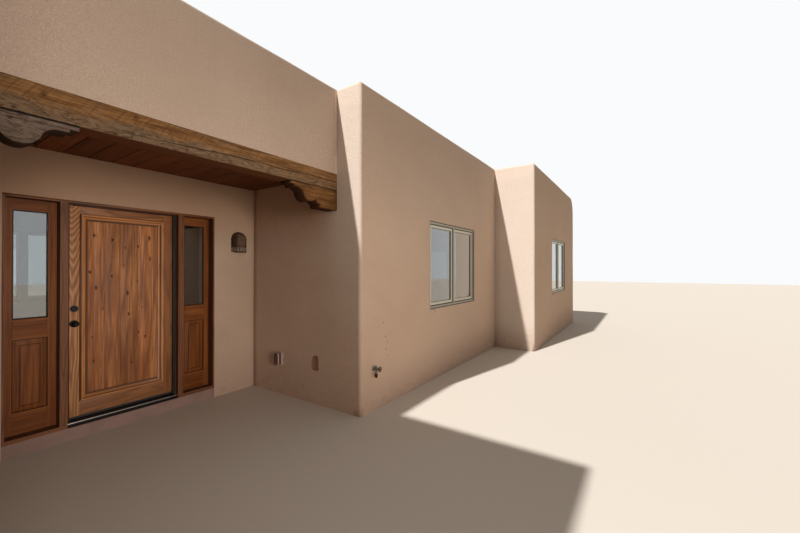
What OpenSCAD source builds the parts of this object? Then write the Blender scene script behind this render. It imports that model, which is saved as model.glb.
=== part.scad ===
/* [House plan] */
// Length of the west wing along the front
wing_len = 4500; // [3600:50:6000]
// How far the wing stands in front of the bedroom
wing_out = 1476; // [1300:1:1800]
// Clear width of the portal between the two side walls
portal_w = 2880; // [2700:10:3400]
// From the bedroom front back to the door wall
door_wall_y = 1911; // [1500:1:2300]
// From the bedroom front back to the portal beam
beam_y = 351; // [250:1:500]
// Length of the bedroom front
bedroom_len = 4212; // [3600:1:5200]
// Length of the end block
end_len = 4551; // [3600:1:5500]
// How far the end block stands in front of the bedroom
end_out = 784; // [700:1:1100]
// From the bedroom front back to the rear face
depth = 6600; // [6000:50:7600]

/* [Walls] */
// Adobe wall with its stucco and plaster
wall_t = 380; // [340:5:420]
// Parapet above the roof
parapet_t = 230; // [200:5:260]
// Top of the parapets
parapet_z = 3640; // [3400:10:3800]
// Rounding of the upright outside corners
corner_r = 35; // [30:5:80]
// Rounding of the parapet's top edges
top_r = 45; // [30:5:80]
// Rounding of the parapet down at a house corner
shoulder_r = 400; // [250:10:500]

/* [Floor and roof] */
// Top of the floor slab
floor_z = 150; // [130:5:170]
// Underside of the roof logs
bear_z = 2650; // [2600:5:2700]
// Diameter of a roof log
viga_d = 250; // [220:5:280]
// Depth of the flat adzed on a log
viga_flat = 15; // [10:1:20]
// Widest spacing of the logs
viga_pitch = 950; // [800:10:1100]
// How far a log runs into its wall
viga_seat = 150; // [120:5:180]
// Room round a log in its pocket
pocket_gap = 5; // [3:1:10]
// Roof deck boards
deck_t = 38; // [25:1:50]
// Roofing over the deck at the rear edge
roofing_t = 150; // [120:5:180]
// Fall of the roof towards the rear
roof_fall = 100; // [60:5:140]
// How far a canale stands out from the rear wall
canale_out = 300; // [200:10:400]
// Outer width of a canale
canale_w = 180; // [150:5:220]
// Outer height of a canale
canale_h = 120; // [100:5:150]
// Board of a canale
canale_t = 25; // [19:1:30]

/* [Portal] */
// Underside of the beam
beam_z = 2478; // [2440:1:2500]
// Side of the square beam
beam_size = 188; // [180:1:200]
// Rounding of the beam's long edges
beam_edge_r = 6; // [3:1:10]
// How far the beam runs into each side wall
beam_seat = 150; // [100:5:180]
// Length of a corbel under the beam
corbel_len = 640; // [600:5:700]
// Thickness of a corbel
corbel_t = 155; // [140:1:170]
// Ceiling boards
ceiling_t = 19; // [16:1:22]
// Thickness of a portal joist
joist_t = 38; // [35:1:45]
// Number of portal joists
joist_count = 3; // [2:1:4]

/* [Front door] */
// Middle of the door set, west of the bedroom wall
door_x = 1445; // [1440:1:1500]
// Width of the door set
frame_w = 1795; // [1760:1:1810]
// Top of the door set
frame_top = 2240; // [2200:1:2260]
// Top of the stucco curb under the door set
curb_z = 115; // [100:1:125]
// Depth of the frame
frame_d = 145; // [140:1:160]
// Thickness of the outer jambs
jamb_t = 18; // [15:1:35]
// Thickness of the head
head_t = 24; // [15:1:30]
// Width of a post between door and sidelight
mullion_w = 57; // [50:1:70]
// Width of the leaf
leaf_w = 914; // [860:1:914]
// Underside of the leaf
leaf_z = 180; // [175:1:190]
// Thickness of the leaf
leaf_t = 45; // [40:1:50]
// Room round the leaf
leaf_gap = 5; // [5:1:8]
// Clear way between the posts in front of the stops
way_w = 955; // [940:1:970]
// How far a stop strip stands out beside the leaf
stop_w = 8; // [8:1:18]
// Depth of a stop strip
stop_t = 30; // [20:1:40]
// Width of the stiles
stile_w = 88; // [80:1:115]
// Height of the top rail
top_rail = 80; // [80:1:110]
// Height of the bottom rail
rail_w = 140; // [130:1:170]
// Thickness of the board panel
panel_t = 22; // [18:1:26]
// Width of the moulding round the panel
mould_w = 60; // [40:1:70]
// How far the moulding stands out of the leaf
mould_out = 11; // [6:1:12]
// Height of the knob over the paving
knob_z = 1072; // [1000:1:1100]
// Height of the deadbolt over the knob
bolt_up = 144; // [140:1:160]
// Diameter of both roses
rose_d = 68; // [60:1:75]

/* [Sidelights] */
// Thickness of a sidelight
sash_t = 36; // [32:1:42]
// Width of a sidelight's stiles
sash_stile = 62; // [56:1:72]
// Underside of the sidelight glass
lite_z = 1160; // [1120:1:1180]
// Top rail of a sidelight
sash_top_rail = 103; // [90:1:130]
// Top of the sidelight's lower panel
lite_panel_z = 972; // [960:1:1000]
// Underside of the sidelight's lower panel
lite_panel_low = 346; // [330:1:400]
// Width of the slope round a raised panel
panel_slope = 47; // [30:1:60]
// Step between the slope and the flat of a raised panel
field_step = 2; // [1:1:4]
// Height of the ledge under the sidelight glass
ledge_h = 55; // [40:1:70]
// How far the ledge stands out
ledge_out = 8; // [5:1:12]
// Glass thickness
glass_t = 6; // [4:1:10]

/* [Windows] */
// Width of a window
window_w = 1620; // [1400:10:1700]
// Height of a window
window_h = 1270; // [1200:10:1300]
// Sill height over the paving
sill_z = 1015; // [950:5:1050]
// Depth of a window frame
window_d = 85; // [70:1:100]
// Face width of a window frame
window_face = 38; // [30:1:50]
// Width of a sash's rails and stiles
sash_face = 46; // [40:1:60]
// Thickness of a sash
sash_d = 40; // [36:1:50]
// How far a sash sits behind the frame's face
sash_back = 14; // [8:1:20]
// Dark gap between sash and frame
sash_gap = 4; // [3:1:6]
// Lip of the frame that a sash closes against
sash_lip = 14; // [10:1:18]
// How far a window sits behind the stucco
window_back = 12; // [5:1:30]
// From the bedroom corner to its window
bedroom_window_x = 1511; // [1400:1:1600]
// From the end block's corner to its window
end_window_x = 1596; // [1500:1:1700]

/* [Fittings] */
// Sconce width, twice as wide as it stands out
sconce_w = 200; // [180:1:220]
// Sconce height
sconce_h = 275; // [240:1:280]
// Thickness of the sconce's wall
sconce_t = 8; // [6:1:10]
// Underside of the sconce
sconce_z = 1805; // [1780:5:1880]
// From the bedroom wall to the sconce's middle
sconce_x = 230; // [200:1:260]
// Width of the outlet cover
outlet_w = 96; // [85:1:110]
// Height of the outlet cover
outlet_h = 165; // [150:1:180]
// How far the outlet cover stands out
outlet_out = 70; // [55:1:80]
// From the bedroom corner to the outlet cover
outlet_y = 1289; // [1200:1:1350]
// Underside of the outlet cover
outlet_z = 372; // [350:1:400]
// Width of the arched plate
plate_w = 84; // [75:1:95]
// Height of the arched plate
plate_h = 175; // [160:1:190]
// From the bedroom corner to the arched plate
plate_y = 636; // [600:1:700]
// Underside of the arched plate
plate_z = 400; // [380:1:430]
// From the bedroom corner to the tap
tap_x = 225; // [200:1:300]
// Height of the tap over the paving
tap_z = 480; // [430:5:520]

/* [Hidden] */
$fn = 48;

// Overshoot of a cutter past the face it cuts
cut = 1;

west_x = -portal_w - wing_len;
east_x = bedroom_len + end_len;
mid_x = (west_x + east_x) / 2;
mid_y = (depth + canale_out - wing_out) / 2;

// Outside faces of the house, anticlockwise from the wing's west corner
outline = [
    [west_x, -wing_out], [-portal_w, -wing_out], [-portal_w, door_wall_y], [0, door_wall_y],
    [0, 0], [bedroom_len, 0], [bedroom_len, -end_out], [east_x, -end_out],
    [east_x, depth], [west_x, depth]
];
corners = len(outline);
// The parapets run over the portal beam instead of the door wall
roof_line = [for (i = [0:corners - 1]) i == 2 || i == 3 ? [outline[i].x, beam_y] : outline[i]];
// The house's own four outside corners, where the parapet rounds down
shoulders = [0, 7, 8, 9];

viga_h = viga_d - 2 * viga_flat;
viga_axis_z = bear_z + viga_d / 2 - viga_flat;
deck_z = bear_z + viga_h;
roof_z = deck_z + deck_t + roofing_t;
// Clear widths that the logs span over, with the front face of each: west end, east end, front
bays = [
    [west_x + wall_t, -portal_w - wall_t, -wing_out], [-portal_w, 0, door_wall_y],
    [wall_t, bedroom_len, 0], [bedroom_len + wall_t, east_x - wall_t, -end_out]
];

beam_top = beam_z + beam_size;
ceiling_y = beam_y + beam_size / 2;
ceiling_top = beam_top + ceiling_t;
inner_parapet_y = beam_y + parapet_t;

frame_x = -door_x;
frame_y = door_wall_y;
frame_back = frame_y + frame_d;
leaf_y = frame_back - leaf_t;
leaf_top = frame_top - head_t - leaf_gap;
opening_w = leaf_w + 2 * leaf_gap;
post_out = way_w / 2 + mullion_w;
stop_d = leaf_y - leaf_gap - frame_y;
sill_h = floor_z - curb_z;
sweep_h = 20;
sweep_z = leaf_z - sweep_h;
lite_w = frame_w / 2 - jamb_t - post_out;
sash_y = frame_back - sash_t;

// Pins stand clear of the leaf's inner face
pin_r = 4;
barrel_r = 8;
pin_x = frame_x + leaf_w / 2 + leaf_gap / 2;
pin_y = frame_back + barrel_r + 0.5;
hinge_h = 114;
hinge_plate_t = 2;
hinge_levels = [leaf_z + 280, (leaf_z + leaf_top) / 2, leaf_top - 240];

// West edge and level of each window that only the hidden walls have
wing_window_x = west_x + (wing_len - window_w) / 2;
side_window_y = (depth - window_w) / 2;
rear_window_xs = [
    wing_window_x, frame_x - window_w / 2, bedroom_window_x, bedroom_len + end_window_x
];
canale_xs = [west_x + wing_len / 2, frame_x + portal_w, east_x - end_len / 2];

function heading(path, i) =
    let (step = path[(i + 1) % len(path)] - path[i % len(path)]) step / norm(step);
function left_of(v) = [-v.y, v.x];
function before(path, i) = i + len(path) - 1;
function inset(path, i, t) =
    path[i % len(path)] + t * (left_of(heading(path, before(path, i))) + left_of(heading(path, i)));
function inset_line(path, t) = [for (i = [0:len(path) - 1]) inset(path, i, t)];
function stands_out(path, i) = cross(heading(path, before(path, i)), heading(path, i)) > 0;
function has_shoulder(i) = len(search(i % corners, shoulders)) > 0;
function viga_xs(bay) =
    let (span = bay[1] - bay[0], count = ceil(span / viga_pitch))
    [for (i = [0:count - 1]) bay[0] + (i + 0.5) * span / count];

// Moves the plan, measured from the bedroom corner, onto the middle of the house
module in_plan() {
    translate([-mid_x, -mid_y, 0]) children();
}

// What a rounded upright corner loses
module corner_waste(path, i) {
    into = inset(path, i, 1) - path[i % len(path)];
    translate(path[i % len(path)])
        mirror([into.x < 0 ? 1 : 0, 0])
            mirror([0, into.y < 0 ? 1 : 0])
                difference() {
                    translate([-cut, -cut]) square(corner_r + cut);
                    translate([corner_r, corner_r]) circle(corner_r);
                }
}

// Plan of one wall, mitred at both ends
module wall_plan(path, i, t) {
    difference() {
        polygon([path[i], path[(i + 1) % len(path)], inset(path, i + 1, t), inset(path, i, t)]);
        for (k = [i, i + 1])
            if (stands_out(path, k)) corner_waste(path, k);
    }
}

// Section of a parapet: its thickness across, its height up, both top edges rounded
module parapet_section(height) {
    square([parapet_t, height - top_r]);
    translate([top_r, 0]) square([parapet_t - 2 * top_r, height]);
    for (y = [top_r, parapet_t - top_r]) translate([y, height - top_r]) circle(top_r);
}

// A quarter turn of the same section, where the parapet rounds down at its east end
module parapet_shoulder() {
    translate([0, 0, parapet_z - shoulder_r])
        rotate([-90, 0, 0])
            rotate([0, 0, -90])
                rotate_extrude(angle = 90)
                    mirror([1, -1]) parapet_section(shoulder_r);
}

// Parapet along the X axis, with its outer face on Y = 0
module parapet_run(length, first_shoulder, last_shoulder) {
    start = first_shoulder ? shoulder_r : -parapet_t;
    end = last_shoulder ? length - shoulder_r : length + parapet_t;
    translate([start, 0, 0])
        rotate([90, 0, 90]) linear_extrude(end - start) parapet_section(parapet_z);
    if (first_shoulder) {
        translate([start, 0, 0]) mirror([1, 0, 0]) parapet_shoulder();
        cube([shoulder_r, parapet_t, parapet_z - shoulder_r]);
    }
    if (last_shoulder) {
        translate([end, 0, 0]) parapet_shoulder();
        translate([end, 0, 0]) cube([shoulder_r, parapet_t, parapet_z - shoulder_r]);
    }
}

// Parapet over one stretch of the roof line
module parapet(i) {
    from = roof_line[i];
    along = heading(roof_line, i);
    length = norm(roof_line[(i + 1) % corners] - from);
    intersection() {
        translate(from)
            rotate(atan2(along.y, along.x))
                parapet_run(length, has_shoulder(i), has_shoulder(i + 1));
        linear_extrude(parapet_z + cut) wall_plan(roof_line, i, parapet_t);
    }
}

// Full thickness of one wall, up to the roof deck
module wall_body(i) {
    linear_extrude(deck_z) wall_plan(outline, i, wall_t);
}

module whole_wall(i) {
    wall_body(i);
    parapet(i);
}

// Pockets for the logs in a front wall
module front_pockets(bay) {
    for (x = viga_xs(bay))
        log_pocket(x, bay[2] + wall_t - viga_seat, bay[2] + wall_t + cut);
}

module rear_pockets() {
    for (bay = bays, x = viga_xs(bay))
        log_pocket(x, depth - wall_t - cut, depth - wall_t + viga_seat);
}

// Room for one log, flat where it seats
module log_pocket(x, from_y, to_y) {
    intersection() {
        translate([x, from_y, viga_axis_z])
            rotate([-90, 0, 0]) cylinder(h = to_y - from_y, d = viga_d + 2 * pocket_gap);
        translate([x - viga_d, from_y - cut, bear_z])
            cube([2 * viga_d, to_y - from_y + 2 * cut, viga_d]);
    }
}

module log(x, from_y, to_y) {
    intersection() {
        translate([x, from_y, viga_axis_z])
            rotate([-90, 0, 0]) cylinder(h = to_y - from_y, d = viga_d);
        translate([x - viga_d, from_y - cut, bear_z])
            cube([2 * viga_d, to_y - from_y + 2 * cut, viga_h]);
    }
}

// Cutter for a window in a wall that faces -Y
module window_hole(x, y) {
    translate([x, y - cut, sill_z]) cube([window_w, wall_t + 2 * cut, window_h]);
}

// Bay of a window frame between its outer faces and the post in the middle
bay_w = (window_w - 3 * window_face) / 2;
bay_h = window_h - 2 * window_face;
bay_xs = [window_face, 2 * window_face + bay_w];

// Window that faces -Y, its frame's front face on Y = 0: room for two sashes, and a lip behind them
module window_frame() {
    difference() {
        cube([window_w, window_d, window_h]);
        for (x = bay_xs) {
            translate([x, -cut, window_face]) cube([bay_w, sash_back + sash_d + cut, bay_h]);
            translate([x + sash_lip, 0, window_face + sash_lip])
                cube([bay_w - 2 * sash_lip, window_d + cut, bay_h - 2 * sash_lip]);
        }
    }
}

module window_sashes() {
    w = bay_w - 2 * sash_gap;
    h = bay_h - 2 * sash_gap;
    for (x = bay_xs)
        translate([x + sash_gap, sash_back, window_face + sash_gap])
            difference() {
                cube([w, sash_d, h]);
                translate([sash_face, -cut, sash_face])
                    cube([w - 2 * sash_face, sash_d + 2 * cut, h - 2 * sash_face]);
            }
}

module window_panes() {
    rim = sash_gap + sash_face;
    for (x = bay_xs)
        translate([x + rim, sash_back + (sash_d - glass_t) / 2, window_face + rim])
            cube([bay_w - 2 * rim, glass_t, bay_h - 2 * rim]);
}

// Puts a window into the bedroom front or a wall that faces the same way
module in_front_wall(x, y) {
    translate([x, y + window_back, sill_z]) children();
}

module in_rear_wall(x) {
    translate([x + window_w, depth - window_back, sill_z]) rotate(180) children();
}

module in_east_wall() {
    translate([east_x - window_back, side_window_y, sill_z]) rotate(90) children();
}

module in_west_wall() {
    translate([west_x + window_back, side_window_y + window_w, sill_z]) rotate(-90) children();
}

module in_front_walls() {
    in_front_wall(wing_window_x, -wing_out) children();
    in_front_wall(bedroom_window_x, 0) children();
    in_front_wall(bedroom_len + end_window_x, -end_out) children();
}

module in_other_walls() {
    in_west_wall() children();
    in_east_wall() children();
    for (x = rear_window_xs) in_rear_wall(x) children();
}

module floor_slab() {
    color("rosybrown") in_plan()
        linear_extrude(floor_z) {
            polygon(inset_line(outline, wall_t));
            // Tongue that runs through the wall behind the door set
            translate([frame_x - frame_w / 2, frame_back])
                square([frame_w, wall_t - frame_d]);
        }
}

module wing_front_wall() {
    color("tan") in_plan()
        difference() {
            whole_wall(0);
            window_hole(wing_window_x, -wing_out);
            front_pockets(bays[0]);
        }
}

module wing_west_wall() {
    color("tan") in_plan()
        difference() {
            whole_wall(9);
            translate([west_x - cut, side_window_y, sill_z])
                cube([wall_t + 2 * cut, window_w, window_h]);
        }
}

module beam_pocket(x) {
    translate([x, beam_y, beam_z]) cube([beam_seat + cut, beam_size, beam_size]);
}

module wing_east_wall() {
    color("tan") in_plan()
        difference() {
            whole_wall(1);
            beam_pocket(-portal_w - beam_seat);
        }
}

module bedroom_west_wall() {
    color("tan") in_plan()
        difference() {
            whole_wall(3);
            beam_pocket(-cut);
        }
}

// Door wall beside the door set, cut off at its edge
module entry_pier(side) {
    difference() {
        wall_body(2);
        translate([frame_x + (side < 0 ? -frame_w / 2 : -2 * portal_w), 0, -cut])
            cube([frame_w / 2 + 2 * portal_w, depth, deck_z + 2 * cut]);
        front_pockets(bays[1]);
    }
}

module entry_west_pier() {
    color("rosybrown") in_plan() entry_pier(-1);
}

module entry_east_pier() {
    color("rosybrown") in_plan() entry_pier(1);
}

module entry_lintel_wall() {
    color("rosybrown") in_plan()
        difference() {
            translate([frame_x - frame_w / 2, door_wall_y, frame_top])
                cube([frame_w, wall_t, deck_z - frame_top]);
            front_pockets(bays[1]);
        }
}

module entry_curb() {
    color("rosybrown") in_plan()
        translate([frame_x - frame_w / 2, door_wall_y, 0]) cube([frame_w, frame_d, curb_z]);
}

module portal_parapet() {
    color("tan") in_plan() {
        difference() {
            parapet(2);
            translate([-2 * portal_w, 0, -cut]) cube([3 * portal_w, depth, deck_z + cut]);
        }
        translate([-portal_w, beam_y, beam_top])
            cube([portal_w, ceiling_y - beam_y, deck_z - beam_top]);
        translate([-portal_w, ceiling_y, ceiling_top])
            cube([portal_w, inner_parapet_y - ceiling_y, deck_z - ceiling_top]);
    }
}

module bedroom_front_wall() {
    color("tan") in_plan()
        difference() {
            whole_wall(4);
            window_hole(bedroom_window_x, 0);
            front_pockets(bays[2]);
        }
}

module end_west_wall() {
    color("tan") in_plan() whole_wall(5);
}

module end_front_wall() {
    color("tan") in_plan()
        difference() {
            whole_wall(6);
            window_hole(bedroom_len + end_window_x, -end_out);
            front_pockets(bays[3]);
        }
}

module east_wall() {
    color("tan") in_plan()
        difference() {
            whole_wall(7);
            translate([east_x - wall_t - cut, side_window_y, sill_z])
                cube([wall_t + 2 * cut, window_w, window_h]);
        }
}

module rear_wall() {
    color("tan") in_plan()
        difference() {
            whole_wall(8);
            for (x = rear_window_xs) window_hole(x, depth - wall_t);
            rear_pockets();
            for (x = canale_xs)
                translate([x - canale_w / 2, depth - parapet_t - cut, roof_z - canale_t])
                    cube([canale_w, parapet_t + 2 * cut, canale_h]);
        }
}

module vigas() {
    color("burlywood") in_plan()
        for (bay = bays, x = viga_xs(bay))
            log(x, bay[2] + wall_t - viga_seat, depth - wall_t + viga_seat);
}

module roof_deck() {
    color("burlywood") in_plan()
        translate([0, 0, deck_z])
            linear_extrude(deck_t) polygon(inset_line(roof_line, parapet_t));
}

// Roofing laid to a fall, cut from a block by a sloping section
module roofing() {
    base_z = deck_z + deck_t;
    back_y = depth - parapet_t;
    front_y = -wing_out + parapet_t;
    color("gray") in_plan()
        intersection() {
            linear_extrude(parapet_z) polygon(inset_line(roof_line, parapet_t));
            translate([west_x, 0, 0])
                rotate([90, 0, 90])
                    linear_extrude(east_x - west_x)
                        polygon([
                            [front_y, base_z], [back_y, base_z],
                            [back_y, roof_z], [front_y, roof_z + roof_fall]
                        ]);
        }
}

// Open troughs that drain the roof through the rear parapet
module canales() {
    color("saddlebrown") in_plan()
        for (x = canale_xs)
            translate([x - canale_w / 2, depth - parapet_t, roof_z - canale_t])
                difference() {
                    cube([canale_w, parapet_t + canale_out, canale_h]);
                    translate([canale_t, -cut, canale_t])
                        cube([canale_w - 2 * canale_t, parapet_t + canale_out + 2 * cut, canale_h]);
                }
}

module portal_beam() {
    color("peru") in_plan()
        translate([-portal_w - beam_seat, beam_y, beam_z])
            rotate([90, 0, 90])
                linear_extrude(portal_w + 2 * beam_seat) rounded_square(beam_size, beam_edge_r);
}

module rounded_square(side, r) {
    translate([r, 0]) square([side - 2 * r, side]);
    translate([0, r]) square([side, side - 2 * r]);
    for (x = [r, side - r], y = [r, side - r]) translate([x, y]) circle(r);
}

// Side of a carved corbel: out from its tip along X, down from the beam along Y
module corbel_side() {
    tip_h = 32;
    fillet_x = 45;
    fillet_h = 52;
    cove_x = 90;
    cove_r = 85;
    lobe_x = 255;
    lobe_y = 82;
    lobe_r = 90;
    bead_x = 384;
    bead_y = 128;
    bead_r = 55;
    block_h = 222;
    square([corbel_len, tip_h]);
    translate([fillet_x, 0]) square([corbel_len - fillet_x, fillet_h]);
    difference() {
        translate([cove_x, 0]) square([cove_r, fillet_h + cove_r]);
        translate([cove_x, fillet_h + cove_r]) circle(cove_r);
    }
    translate([cove_x + cove_r, 0]) square([bead_x - cove_x - cove_r, lobe_y + bead_r / 2]);
    intersection() {
        square([bead_x, block_h]);
        union() {
            translate([lobe_x, lobe_y]) circle(lobe_r);
            translate([bead_x, bead_y]) circle(bead_r);
        }
    }
    translate([bead_x, 0]) square([corbel_len - bead_x, block_h]);
}

// Corbel with its tip to the west, under the beam's east end
module corbel() {
    translate([-corbel_len, beam_y, beam_z])
        rotate([-90, 0, 0]) linear_extrude(corbel_t) corbel_side();
}

module east_corbel() {
    color("peru") in_plan() corbel();
}

module west_corbel() {
    color("gray") in_plan() translate([-portal_w, 0, 0]) mirror([1, 0, 0]) corbel();
}

module portal_ceiling() {
    color("brown") in_plan()
        translate([-portal_w, ceiling_y, beam_top])
            cube([portal_w, door_wall_y - ceiling_y, ceiling_t]);
}

module portal_joists() {
    room = door_wall_y - inner_parapet_y;
    color("burlywood") in_plan()
        for (i = [0:joist_count - 1])
            translate([
                -portal_w, inner_parapet_y + (i + 0.5) * room / joist_count - joist_t / 2,
                ceiling_top
            ])
                cube([portal_w, joist_t, deck_z - ceiling_top]);
}

// Jambs, head, sill and the two posts beside the leaf
module door_frame() {
    height = frame_top - curb_z;
    color("sienna") in_plan()
        translate([frame_x, frame_y, curb_z])
            difference() {
                translate([-frame_w / 2, 0, 0]) cube([frame_w, frame_d, height]);
                // Clear way in front of the stops, the way between them, and room for the leaf
                translate([-way_w / 2, -cut, -cut])
                    cube([way_w, stop_d - stop_t + cut, height - head_t + cut]);
                translate([-opening_w / 2 + stop_w, -cut, -cut])
                    cube([opening_w - 2 * stop_w, frame_d, height - head_t - stop_w + cut]);
                translate([-opening_w / 2, stop_d, -cut])
                    cube([opening_w, frame_d, height - head_t + cut]);
                // Room for a sidelight
                for (side = [-1, 1])
                    translate([side * (post_out + lite_w / 2) - lite_w / 2, -cut, sill_h])
                        cube([lite_w, frame_d + 2 * cut, height - head_t - sill_h]);
            }
}

// Fills the foot of the doorway between the posts, round the stops
module door_threshold() {
    height = sweep_z - leaf_gap - curb_z;
    color("dimgray") in_plan()
        translate([frame_x, frame_y, curb_z]) {
            translate([-way_w / 2, 0, 0]) cube([way_w, stop_d - stop_t, height]);
            translate([-opening_w / 2 + stop_w, 0, 0])
                cube([opening_w - 2 * stop_w, frame_d, height]);
            translate([-opening_w / 2, stop_d, 0]) cube([opening_w, frame_d - stop_d, height]);
        }
}

// Field of a raised panel that faces -Y, sloping down to its edges on Y = 0
module raised_field(w, h, rise) {
    flat_w = w - 2 * panel_slope;
    flat_h = h - 2 * panel_slope;
    intersection() {
        linear_extrude(h)
            polygon([[0, 0], [w, 0], [panel_slope + flat_w, -rise], [panel_slope, -rise]]);
        rotate([90, 0, 90])
            linear_extrude(w)
                polygon([[0, 0], [0, h], [-rise, panel_slope + flat_h], [-rise, panel_slope]]);
    }
    translate([panel_slope, -rise - field_step, panel_slope])
        cube([flat_w, 2 * field_step, flat_h]);
}

// Ledge in front of Y = 0 that throws the rain off the glass
module glass_ledge(w) {
    rotate([90, 0, 90])
        linear_extrude(w)
            polygon([[cut, 0], [-ledge_out, 0], [-ledge_out, ledge_h - ledge_out], [cut, ledge_h]]);
}

// One sidelight: stiles and rails, a ledge, and a lower panel raised on both sides
module sidelight(side) {
    height = frame_top - head_t - floor_z;
    open_w = lite_w - 2 * sash_stile;
    panel_height = lite_panel_z - lite_panel_low;
    web_t = sash_t / 3;
    translate([frame_x + side * (post_out + lite_w / 2) - lite_w / 2, sash_y, floor_z]) {
        difference() {
            cube([lite_w, sash_t, height]);
            translate([sash_stile, -cut, lite_z - floor_z])
                cube([open_w, sash_t + 2 * cut, height - sash_top_rail - lite_z + floor_z]);
            for (y = [-cut, sash_t - web_t])
                translate([sash_stile, y, lite_panel_low - floor_z])
                    cube([open_w, web_t + cut, panel_height]);
        }
        translate([sash_stile, 0, lite_z - ledge_h - floor_z]) glass_ledge(open_w);
        translate([sash_stile, web_t, lite_panel_low - floor_z])
            raised_field(open_w, panel_height, web_t - field_step);
        translate([sash_stile + open_w, sash_t - web_t, lite_panel_low - floor_z])
            rotate(180) raised_field(open_w, panel_height, web_t - field_step);
    }
}

module west_sidelight() {
    color("sienna") in_plan() sidelight(-1);
}

module east_sidelight() {
    color("sienna") in_plan() sidelight(1);
}

module sidelight_glass() {
    color("lightblue") in_plan()
        for (side = [-1, 1])
            translate([
                frame_x + side * (post_out + lite_w / 2) - lite_w / 2 + sash_stile,
                sash_y + (sash_t - glass_t) / 2, lite_z
            ])
                cube([
                    lite_w - 2 * sash_stile, glass_t,
                    frame_top - head_t - sash_top_rail - lite_z
                ]);
}

panel_x = -leaf_w / 2 + stile_w;
panel_w = leaf_w - 2 * stile_w;
panel_z = leaf_z + rail_w;
panel_h = leaf_top - top_rail - panel_z;

module door_leaf() {
    color("chocolate") in_plan()
        translate([frame_x, leaf_y, 0])
            difference() {
                translate([-leaf_w / 2, 0, leaf_z]) cube([leaf_w, leaf_t, leaf_top - leaf_z]);
                translate([panel_x, -cut, panel_z]) cube([panel_w, leaf_t + 2 * cut, panel_h]);
                for (z = [knob_z, knob_z + bolt_up]) spindle_hole(z);
            }
}

module door_panel() {
    color("chocolate") in_plan()
        translate([frame_x + panel_x, leaf_y + (leaf_t - panel_t) / 2, panel_z])
            cube([panel_w, panel_t, panel_h]);
}

// Section of the moulding: in from the stile along X, out of the leaf's face along Y
module mould_section() {
    seat = (leaf_t - panel_t) / 2;
    bead_r = mould_out / 2;
    bead_w = mould_w / 3;
    edge_t = 3;
    cove_r = mould_w - bead_w - bead_r;
    translate([0, -seat]) square([bead_w, seat + mould_out - bead_r]);
    for (x = [bead_r, bead_w - bead_r]) translate([x, mould_out - bead_r]) circle(bead_r);
    translate([bead_r, 0]) square([bead_w - 2 * bead_r, mould_out]);
    difference() {
        translate([bead_w, -seat]) square([mould_w - bead_w, seat + bead_r]);
        translate([mould_w, edge_t - seat + cove_r]) circle(cove_r);
    }
}

// The moulding's section run round the panel opening, with mitred corners
module mould_ring() {
    half_w = panel_w / 2;
    half_h = panel_h / 2;
    for (turn = [0:3]) {
        reach = turn % 2 == 0 ? half_w : half_h;
        run = turn % 2 == 0 ? half_h : half_w;
        rotate([0, 90 * turn, 0])
            intersection() {
                translate([-reach, 0, -run]) linear_extrude(2 * run) mirror([0, 1]) mould_section();
                rotate([90, 0, 0])
                    translate([0, 0, -leaf_t])
                        linear_extrude(2 * leaf_t)
                            polygon([
                                [-reach, -run], [-reach, run], [mould_w - reach, run - mould_w],
                                [mould_w - reach, mould_w - run]
                            ]);
            }
    }
}

module door_moulding() {
    color("chocolate") in_plan()
        translate([frame_x, leaf_y, panel_z + panel_h / 2]) {
            mould_ring();
            translate([0, leaf_t, 0]) rotate(180) mould_ring();
        }
}

spindle_r = 6;
spindle_gap = 0.1;
lock_x = -leaf_w / 2 + stile_w / 2;

module spindle_hole(z) {
    translate([lock_x, -cut, z])
        rotate([-90, 0, 0]) cylinder(h = leaf_t + 2 * cut, r = spindle_r + spindle_gap);
}

// Turned knob with its rose, out along the X axis of its outline
module knob_side() {
    rose_t = 8;
    neck = 30;
    ball_r = 27;
    square([rose_t, rose_d / 2]);
    square([neck + ball_r, 12]);
    intersection() {
        translate([neck + ball_r - 6, 0]) circle(ball_r);
        square([2 * (neck + ball_r), ball_r]);
    }
}

module turned(z) {
    translate([frame_x + lock_x, leaf_y, z]) {
        rotate([90, 0, 0]) rotate_extrude() mirror([1, -1]) children();
        translate([0, leaf_t, 0])
            rotate([-90, 0, 0]) rotate_extrude() mirror([1, -1]) children();
        rotate([-90, 0, 0]) cylinder(h = leaf_t, r = spindle_r);
    }
}

module door_knob() {
    color("black") in_plan() turned(knob_z) knob_side();
}

module deadbolt() {
    color("black") in_plan()
        turned(knob_z + bolt_up) {
            square([14, rose_d / 2 - 4]);
            square([24, 18]);
        }
}

module door_sweep() {
    color("black") in_plan()
        translate([frame_x - leaf_w / 2, leaf_y, sweep_z]) cube([leaf_w, leaf_t, sweep_h]);
}

// Upright cylinder on the hinge pin
module on_pin(z, h, r) {
    translate([pin_x, pin_y, z]) cylinder(h = h, r = r);
}

knuckle = hinge_h / 3;
knuckle_gap = 0.3;

module jamb_hinges() {
    plate_x = frame_x + opening_w / 2 - hinge_plate_t;
    color("dimgray") in_plan()
        for (z = hinge_levels) {
            translate([plate_x, leaf_y + 8, z]) cube([hinge_plate_t, leaf_t - 8, hinge_h]);
            for (from = [z, z + 2 * knuckle + knuckle_gap]) {
                on_pin(from, knuckle - knuckle_gap, barrel_r);
                translate([plate_x, leaf_y + 8, from])
                    cube([hinge_plate_t, pin_y - leaf_y - 8, knuckle - knuckle_gap]);
            }
            on_pin(z, hinge_h, pin_r);
        }
}

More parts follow.
